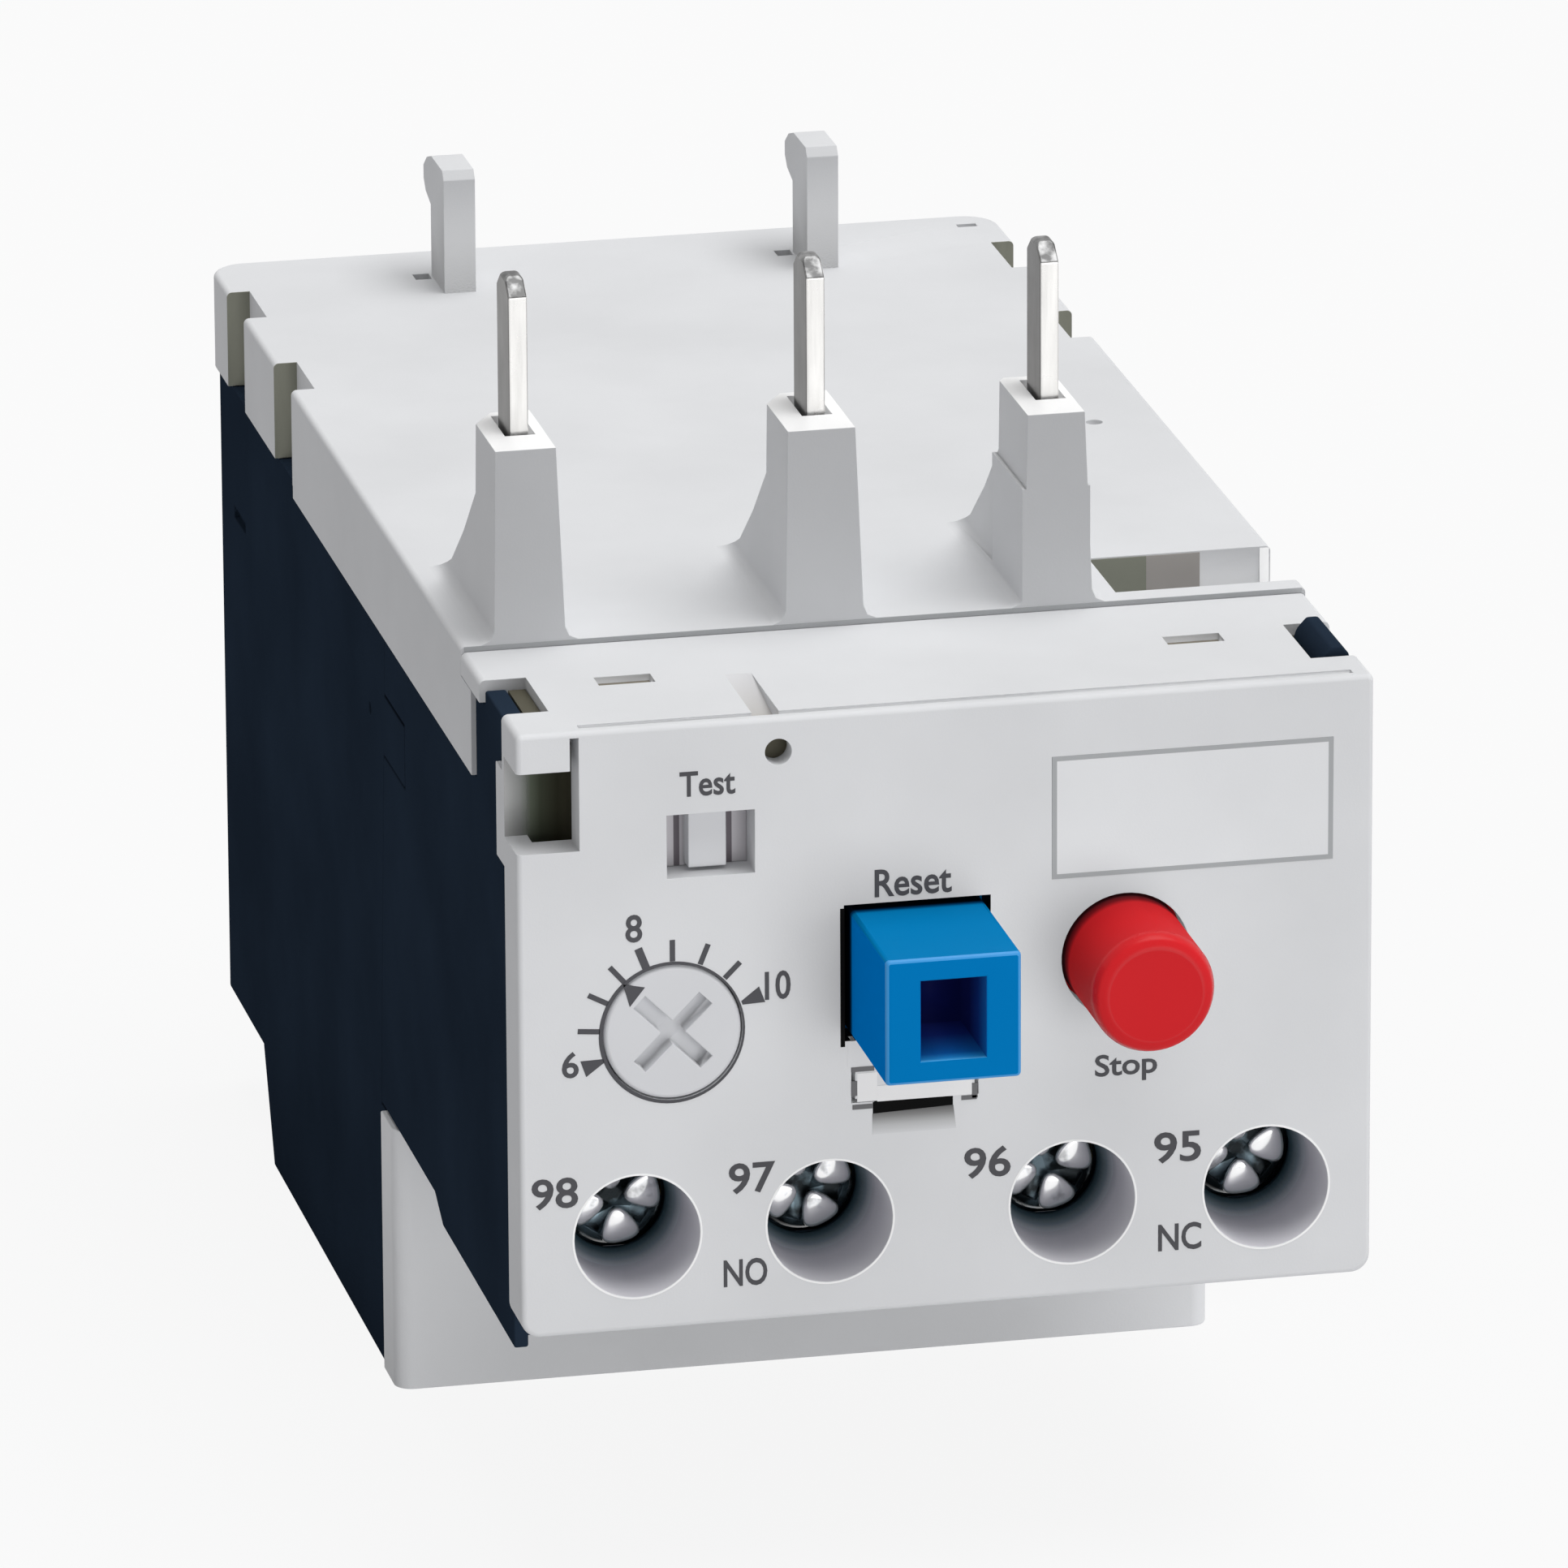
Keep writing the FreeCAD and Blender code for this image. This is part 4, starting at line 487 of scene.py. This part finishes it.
def scale_ticks():
    """Nine ticks round the dial: wedges at both ends and a bold one in the middle."""
    angles = (199, 175, 152, 131, 111, 90, 68, 45, 20)
    inner, outer = 3.85 * MM, 5.0 * MM
    wedge_tip, wedge_root, bold, thin = 0.46, 0.1, 0.21, 0.14
    last = len(angles) - 1
    for index, angle in enumerate(angles):
        if index in (0, last):
            tip_half, root_half = wedge_tip * MM, wedge_root * MM
        else:
            tip_half = root_half = (bold if index == last // 2 else thin) * MM
        corners = []
        for radius, half in ((inner, -root_half), (outer, -tip_half), (outer, tip_half),
                             (inner, root_half)):
            corners.append(around_dial(angle + math.degrees(half / radius), radius))
        plate(f"dial_tick_{index + 1}", corners, print_front, print_back, ink)


def shade_highlight_ring(radius, thickness, lean=0.0):
    """The section of a thin painted ring, in metres, for shade round the dial and highlights round
    the tubes; lean makes it thicker towards its left.
    """
    def section(turn):
        outer = radius + thickness * (1 - lean * math.cos(turn))
        return ((radius, print_front), (outer, print_front), (outer, print_back),
                (radius, print_back))
    return section


def dial_marks():
    """A ring of painted shade in the gap round the dial, thicker at its left, and the printed
    pointer that turns with it.
    """
    radius, thickness, lean = 3.67 * MM, 0.16 * MM, 0.35
    ring("dial_gap_shade", dial_centre, shade_highlight_ring(radius, thickness, lean), ink)
    pointer = ((-2.6, 2.8), (-2.25, 1.55), (-1.45, 2.55))
    corners = [(dial_centre[0] + x * MM, dial_centre[1] + z * MM) for x, z in pointer]
    plate("dial_pointer", corners, print_front, print_back, ink, "dial")


# Each word with the middle, the width and the height of its print, in millimetres.
words_on_face = (("word_test", "Test", (-12.56, 44.8), 2.9, 1.35),
                 ("word_reset", "Reset", (-1.82, 38.71), 4.05, 1.5),
                 ("word_stop", "Stop", (9.42, 27.71), 3.3, 1.55),
                 ("word_no", "NO", (-10.73, 18.13), 2.3, 1.5),
                 ("word_nc", "NC", (12.3, 18.19), 2.3, 1.5),
                 ("mark_98", "98", (-20.71, 23.23), 2.43, 1.68),
                 ("mark_97", "97", (-10.36, 23.27), 2.44, 1.68),
                 ("mark_96", "96", (2.07, 23.11), 2.46, 1.7),
                 ("mark_95", "95", (12.17, 23.13), 2.5, 1.7))
# Each numeral of the scale with its angle in degrees, its radius, its width and its height.
scale_numerals = (("8", 109.2, 6.1, 0.88, 1.5),
                  ("6", 194.1, 5.55, 0.88, 1.42),
                  ("10", 21.2, 5.9, 1.35, 1.55))


def markings():
    """The words and terminal numbers, and the scale round the dial."""
    for name, words, (x, z), width, height in words_on_face:
        lettered(name, words, (x * MM, z * MM), width * MM, height * MM)
    for words, angle, radius, width, height in scale_numerals:
        lettered(f"scale_{words}", words, around_dial(angle, radius * MM),
                 width * MM, height * MM)
    scale_ticks()
    dial_marks()


# ---------------------------------------------------------------- faces with their own finish
# Each test takes a face's centre in millimetres and its normal.

slack = 0.05
square_on = 0.9


def every_face(centre, normal):
    """Any face, for a finish that covers the whole of a node."""
    return True


def in_tube(centre, normal):
    """Whether a face of the front cover lies in one of the screw tubes."""
    reach = 3.36
    if centre.y < front_mm + slack:
        return False
    return any(math.hypot(centre.x - x, centre.z - terminal_z) < reach
               for x in terminal_x.values())


def in_groove(centre, normal):
    """Whether a face of the front cover is the floor of the short groove in its ledge."""
    left, right, depth = -10.4, -8.0, 1.1
    return left < centre.x < right and centre.z > top_mm - depth and -0.3 < normal.y < -0.05


def in_side_notch(centre, normal):
    """Whether a face of the top cover is the rear wall of a notch in its sides."""
    walls = (rear_mm - 5.8, rear_mm - 20.0)
    return normal.y < -square_on and min(abs(wall - centre.y) for wall in walls) < slack


def round_window(centre, normal):
    """Whether a face of the front cover is the side wall's end behind the corner window."""
    right, depth = -20, 3.2
    return normal.y < -square_on and centre.x < right and abs(centre.y - front_mm - depth) < slack


def in_reset_gap(centre, normal):
    """Whether a face of the front cover is a wall of the window that the reset button fills."""
    half_width, half_height, depth = 4.0, 3.8, 2.2
    near = abs(centre.x - reset_mm.x) < half_width and abs(centre.z - reset_mm.z) < half_height
    return near and front_mm + slack < centre.y < front_mm + depth


def on_post_top(centre, normal):
    """Whether a face of the top cover is the top of a blade post."""
    least_height = 9
    return normal.z > square_on and centre.z > plate_mm + least_height


def in_socket(centre, normal):
    """Whether a face of the reset button lies in its socket."""
    half_width, half_height = 2.2, 2.7
    inside = abs(centre.x - reset_mm.x) < half_width and abs(centre.z - reset_mm.z) < half_height
    return inside and reset_front + 0.1 < centre.y < front_mm - 2.0


def on_sill(centre, normal):
    """Whether a face of the reset button is the lower wall of its socket."""
    return in_socket(centre, normal) and normal.z > square_on


def on_reset_side(centre, normal):
    """Whether a face of the reset button is one of its outer sides."""
    return abs(normal.y) < 0.25 and not in_socket(centre, normal)


def on_reset_left(centre, normal):
    """Whether a face of the reset button is its outer left side."""
    return normal.x < -square_on and not in_socket(centre, normal)


def on_reset_rim(centre, normal):
    """Whether a face of the reset button slopes between its front and its sides."""
    return centre.y < reset_front + 2.0 and 0.25 < -normal.y < 0.97


def on_stop_side(centre, normal):
    """Whether a face of the stop button is part of its round side."""
    return abs(normal.y) <= 0.12


def on_stop_rim(centre, normal):
    """Whether a face of the stop button slopes between its front and its side."""
    return 0.12 < -normal.y < 0.98


def on_blade_side(centre, normal):
    """Whether a face of a line blade looks to the left."""
    return normal.x < -square_on


# ---------------------------------------------------------------- pieces

def cases():
    """The covers and housings."""
    # Painted shade in the front cover's screw tubes, groove floor, corner window wall and the reset
    # button's window walls.
    dressed("front_cover", 0.1, finishes=[
        (tube_shade, in_tube), (groove_shade, in_groove), (window_shade, round_window),
        (slot_shade, in_reset_gap)])
    # Painted light on the post tops, and painted shade on the notch walls.
    dressed("top_cover", 0.16, finishes=[
        (rim_painted_light, on_post_top), (notch_shade, in_side_notch)])
    # The whole lower panel carries the painted light.
    dressed("lower_panel", 0.15, finishes=[(panel_painted_light, every_face)])
    dressed("front_housing", 0.12)
    dressed("rear_housing", 0.12)


def reset_tongue():
    """The tongue under the reset button: a pale tab, and painted shade in its slot, ramp and
    outlines.
    """
    block("tongue_slot_fill", (-3.98, -0.01, 26.2), (0.25, 0.04, 26.88), slot_shade)
    ramp = [(-4.0 * MM, 25.12 * MM), (0.42 * MM, 25.12 * MM), (0.27 * MM, 26.4 * MM),
            (-4.0 * MM, 26.25 * MM)]
    plate("tongue_ramp", ramp, print_front, print_back, ramp_shade)
    block("tongue_band", (-3.75, -0.03, 26.9), (1.25, 0.03, 27.75), tab_plastic)
    block("tongue_tab", (-4.8, -0.025, 26.95), (-3.75, 0.03, 28.5), tab_plastic)
    block("tongue_fill", (-5.3, -0.01, 28.85), (-4.75, 0.03, 30.28), grey_plastic)
    strokes = (((-5.1, 28.6), (-3.9, 28.85)), ((-5.1, 27.3), (-4.8, 28.1)),
               ((-5.05, 26.55), (-4.0, 26.8)), ((0.7, 26.62), (1.5, 26.85)),
               ((1.25, 26.7), (1.55, 27.5)))
    for number, (low, high) in enumerate(strokes):
        block(f"tongue_line_{number}", (low[0], -0.04, low[1]), (high[0], 0.03, high[1]),
              stroke_shade)


def label_field():
    """The bare label field in its thin engraved frame, whose lines are grey strips of painted
    shade.
    """
    left, right = stop_mm - 3.9, face_high.x / MM - 2.15
    low, high = top_mm - 9.8, top_mm - 3.2
    line = 0.25
    block("label_field", (left + line, -0.01, low + line), (right - line, 0.03, high - line),
          label_plastic)
    strokes = (((left, low), (right, low + line)), ((left, high - line), (right, high)),
               ((left, low + line), (left + line, high - line)),
               ((right - line, low + line), (right, high - line)))
    for number, (near, far) in enumerate(strokes):
        block(f"label_line_{number}", (near[0], -0.015, near[1]), (far[0], 0.1, far[1]),
              line_shade)


def front_window_fills():
    """What shows through the small windows in the front face; all but the light test strips are
    painted shade.
    """
    block("corner_window_back", (-22.1, 3.3, 40.0), (-19.0, 3.6, 47.6), window_shade)
    foot, head = 39.8, 43.2
    strips = ((-14.7, -13.93, test_light), (-13.93, -13.62, test_gap_shade), (-13.62, -13.4, test_light),
              (-11.4, -10.88, test_gap_shade), (-10.88, -10.1, test_light))
    for number, (left, right, material) in enumerate(strips):
        block(f"test_window_{number}", (left, 2.03, foot), (right, 2.15, head), material,
              node_bodies["test_slider"])
    block("pilot_back", (-9.9, 1.2, 45.2), (-7.8, 1.4, 47.2), olive_shade)


def top_fills():
    """What shows in the notches and slots of the ledge and in the top cover's pocket, as painted
    shade with one strip of painted light, and a line of painted shade on the step.
    """
    low, high = top_mm - 2.6, top_mm - 0.6
    # Plates of painted shade in the notches of the ledge.
    block("left_notch_fill", (-21.0, 3.8, low), (-20.1, 9.4, high), olive_shade)
    block("right_notch_fill", (20.05, 3.5, low), (20.9, 9.2, high), olive_shade)
    low, high = top_mm - 0.75, top_mm - 0.35
    # Plates of painted shade in the two slots of the ledge.
    block("left_slot_fill", (-16.6, 7.35, low), (-13.75, 8.65, high), slot_fill_shade)
    block("right_slot_fill", (13.45, 7.35, low), (16.35, 8.65, high), slot_fill_shade)
    ledge, lip, pocket = 14.4, 1.4, 6.1
    wall = ledge + lip + pocket
    low, high = plate_mm - 2.3, plate_mm - 0.1
    # Bands of painted shade on the pocket's back wall, and a strip of painted light at its open
    # end.
    block("pocket_olive_shade", (12.7, wall - 0.06, low), (15.75, wall + 0.1, high), pocket_olive_shade)
    block("pocket_edge", (21.9, wall - 0.05, low), (22.4, wall + 0.1, high), rim_painted_light)
    block("pocket_taupe", (15.75, wall - 0.05, low), (18.65, wall + 0.1, high), taupe_shade)
    # A line of painted shade on the step's front face between the ledge and the top plate.
    block("front_step", (-22.3, ledge - 0.02, top_mm + 0.01),
          (22.3, ledge + 0.02, plate_mm - 0.03), line_shade)


def controls():
    """The two buttons, the dial and the slider.

    The buttons don't show to diffuse rays, so they throw no colour on what is round them.
    """
    # The buttons' finishes hold painted light and shade: lighter left side and edges, and darkening
    # into the socket and the cover.
    reset = dressed("reset_button", 0.1, finishes=[
        (blue_side_shade, on_reset_side), (blue_left_light_shade, on_reset_left), (blue_edge_highlight, on_reset_rim),
        (blue_socket_shade, in_socket), (blue_sill_highlight_shade, on_sill)])
    stop = dressed("stop_button", 0.12, finishes=[
        (red_edge, on_stop_rim), (red_side_shade, on_stop_side)])
    for button in (reset, stop):
        button.visible_diffuse = False
    # A black strip of painted shadow in the gap at the reset button's left.
    block("reset_gap", (-5.66, -0.015, 30.0), (-5.43, 0.03, 37.5), slot_shade)
    dressed("setting_dial", 0.08)
    dressed("test_slider", 0.08)


def metalwork():
    """The line blades, the load screws and the control terminals."""
    tip_height = 3.2
    for number in (1, 2, 3):
        blade_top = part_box(f"line_blade_{number}")[1].z / MM

        def at_tip(centre, normal, blade_top=blade_top):
            return centre.z > blade_top - tip_height and normal.z > 0.15

        # The blades' left faces and tip tops carry painted shade.
        dressed(f"line_blade_{number}", 0.1,
                finishes=[(blade_side_shade, on_blade_side), (blade_tip_shade, at_tip)])
        dressed(f"load_screw_{number}", 0.06, merge=False)
    for mark in terminals:
        control_screw(mark)


def control_screw(mark):
    """One recessed terminal screw: a dark cross recess between four bright rounded lobes."""
    node = f"control_screw_{mark}"
    centre = middle(node)
    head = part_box(node)[0].y
    wall, clear = 3.3 * MM, 2.72 * MM

    def collar(turn):
        return ((wall, head - 1.2 * MM), (clear, head - 0.05 * MM), (clear, head + 0.2 * MM),
                (wall, head + 0.2 * MM))

    # The head and the clamp washer are painted dark: painted shade deep in the tube.
    dressed(node, 0.06, finishes=[(head_shade_metal, every_face)], merge=False)
    dressed(f"clamp_washer_{mark}", 0.08, finishes=[(washer_shade_metal, every_face)])
    axis = (centre.x, centre.z)
    # A thin white ring at each tube's edge: a painted highlight.
    ring(f"tube_rim_highlight_{mark}", axis, shade_highlight_ring(3.32 * MM, 0.1 * MM), rim_painted_light)
    # A collar of painted shade fills the gap between the head and the tube wall.
    ring(f"tube_collar_{mark}", axis, collar, collar_shade)
    for quarter in range(4):
        screw_lobe(mark, quarter, centre, head + 0.04 * MM)


# How far each control screw is turned, in degrees.
screw_turns = {95: 40, 96: 28, 97: 20, 98: 35}


def screw_lobe(mark, quarter, centre, base):
    """A rounded pad between two arms of the cross: a flattened ball, wider towards the rim."""
    inner, outer, proud = 0.55 * MM, 2.45 * MM, 0.26 * MM
    gap, flare, root = 0.1 * MM, 0.45, 0.3 * MM
    square, flatness = 2.5, 0.6
    turn = math.radians(45 + 90 * quarter - screw_turns[mark])
    work = bmesh.new()
    bmesh.ops.create_uvsphere(work, u_segments=48, v_segments=16, radius=1.0)
    for face in work.faces:
        face.smooth = True
    for vertex in work.verts:
        out, side, rise = vertex.co
        reach = math.hypot(out, side)
        if reach > 0:
            swell = reach / (abs(out) ** square + abs(side) ** square) ** (1 / square)
            out, side = out * swell, side * swell
        out = (inner + outer) / 2 + out * (outer - inner) / 2
        side *= (flare * out + root) - gap
        rise = math.copysign(abs(rise) ** flatness, rise)
        vertex.co = (centre.x + out * math.cos(turn) - side * math.sin(turn),
                     base - rise * proud,
                     centre.z + out * math.sin(turn) + side * math.cos(turn))
    bmesh.ops.recalc_face_normals(work, faces=work.faces)
    mesh = bpy.data.meshes.new(f"screw_lobe_{mark}_{quarter + 1}")
    work.to_mesh(mesh)
    work.free()
    node = f"control_screw_{mark}"
    settle(bpy.data.objects.new(mesh.name, mesh), lobe_reflection_metal, node_bodies[node])


# ---------------------------------------------------------------- floor, light and camera

def studio_ray(nodes, links):
    """1 for rays that come straight from the camera or off gloss or glass, else 0."""
    path = nodes.new("ShaderNodeLightPath")
    last = path.outputs["Is Camera Ray"]
    for name in ("Is Glossy Ray", "Is Transmission Ray"):
        either = nodes.new("ShaderNodeMath")
        either.operation = "MAXIMUM"
        links.new(last, either.inputs[0])
        links.new(path.outputs[name], either.inputs[1])
        last = either.outputs["Value"]
    return last


def make_floor():
    """A pale floor that shows white to the camera and keeps a soft shadow."""
    reach = 4.0
    paper_colour, white_share = (0.55, 0.55, 0.56, 1), 0.9
    mesh = bpy.data.meshes.new("floor")
    corners = [(-reach, -reach, 0), (reach, -reach, 0), (reach, reach, 0), (-reach, reach, 0)]
    mesh.from_pydata(corners, [], [(0, 1, 2, 3)])
    floor = bpy.data.objects.new("floor", mesh)
    scene.collection.objects.link(floor)
    material = bpy.data.materials.new("floor_paper")
    material.use_nodes = True
    nodes, links = material.node_tree.nodes, material.node_tree.links
    nodes.clear()
    output = nodes.new("ShaderNodeOutputMaterial")
    paper = nodes.new("ShaderNodeBsdfDiffuse")
    paper.inputs["Color"].default_value = paper_colour
    glow = nodes.new("ShaderNodeEmission")
    glow.inputs["Strength"].default_value = 1.0
    share = nodes.new("ShaderNodeMath")
    share.operation = "MULTIPLY"
    share.inputs[1].default_value = white_share
    blend = nodes.new("ShaderNodeMixShader")
    links.new(studio_ray(nodes, links), share.inputs[0])
    links.new(share.outputs["Value"], blend.inputs["Fac"])
    links.new(paper.outputs["BSDF"], blend.inputs[1])
    links.new(glow.outputs["Emission"], blend.inputs[2])
    links.new(blend.outputs["Shader"], output.inputs["Surface"])
    mesh.materials.append(material)


def make_world(strength):
    """Even white light of a strength from all round, and white behind the relay."""
    white = (1.0, 1.0, 1.0, 1)
    world = bpy.data.worlds.new("studio")
    scene.world = world
    world.use_nodes = True
    nodes, links = world.node_tree.nodes, world.node_tree.links
    nodes.clear()
    output = nodes.new("ShaderNodeOutputWorld")
    soft = nodes.new("ShaderNodeBackground")
    soft.inputs["Color"].default_value = white
    soft.inputs["Strength"].default_value = strength
    seen = nodes.new("ShaderNodeBackground")
    seen.inputs["Color"].default_value = white
    seen.inputs["Strength"].default_value = 1.0
    blend = nodes.new("ShaderNodeMixShader")
    links.new(studio_ray(nodes, links), blend.inputs["Fac"])
    links.new(soft.outputs["Background"], blend.inputs[1])
    links.new(seen.outputs["Background"], blend.inputs[2])
    links.new(blend.outputs["Shader"], output.inputs["Surface"])


def sun(name, towards, level, spread):
    """A soft sun; level is the light it gives a face that looks straight at it."""
    light = bpy.data.lights.new(name, "SUN")
    light.energy = level * math.pi
    light.angle = math.radians(spread)
    lamp = bpy.data.objects.new(name, light)
    lamp.rotation_euler = Vector(towards).to_track_quat("Z", "Y").to_euler()
    lamp.location = Vector(towards).normalized() * 2
    scene.collection.objects.link(lamp)
    return lamp


def make_light():
    """Even light, a soft sun overhead, and a weaker one in front.

    The front one comes from a little below the floor's level.  The floor is left out of what
    blocks it, and the top cover is left out of what it lights.
    """
    make_world(0.36)
    sun("overhead", (0.25, -0.1, 1.0), 0.72, 50)
    front = sun("front_fill", (0.3, -1.0, -0.15), 0.4, 40)
    lit = bpy.data.collections.new("front_lit")
    blocking = bpy.data.collections.new("front_blocking")
    for item in list(scene.objects):
        if item.type != "MESH" or item.name == "floor":
            continue
        blocking.objects.link(item)
        if not item.name.startswith("top_cover"):
            lit.objects.link(item)
    front.light_linking.receiver_collection = lit
    front.light_linking.blocker_collection = blocking


def make_camera():
    """The photograph's view: long lens, from the front, a little left of centre and above."""
    azimuth, elevation, roll = (math.radians(angle) for angle in (12.283, 18.171, -0.302))
    ahead = Vector((math.sin(azimuth) * math.cos(elevation),
                    math.cos(azimuth) * math.cos(elevation), -math.sin(elevation)))
    across = Vector((math.cos(azimuth), -math.sin(azimuth), 0))
    upward = across.cross(ahead)
    right = across * math.cos(roll) + upward * math.sin(roll)
    up = upward * math.cos(roll) - across * math.sin(roll)
    aim = Vector((0, -14.35 * MM, 30.4 * MM))
    leftward, upwards, distance = 3.077, 5.143, 812.427
    place = aim - right * leftward * MM + up * upwards * MM - ahead * distance * MM
    lens = bpy.data.cameras.new("camera")
    lens.sensor_width = 36.0
    lens.lens = 352.36
    lens.clip_start, lens.clip_end = 0.05, 20
    camera = bpy.data.objects.new("camera", lens)
    turn = Matrix((right, up, -ahead)).transposed().to_4x4()
    camera.matrix_world = Matrix.Translation(place) @ turn
    scene.collection.objects.link(camera)
    scene.camera = camera


cases()
controls()
metalwork()
markings()
reset_tongue()
label_field()
front_window_fills()
top_fills()
make_floor()
make_light()
make_camera()
scene.view_settings.view_transform = "Standard"
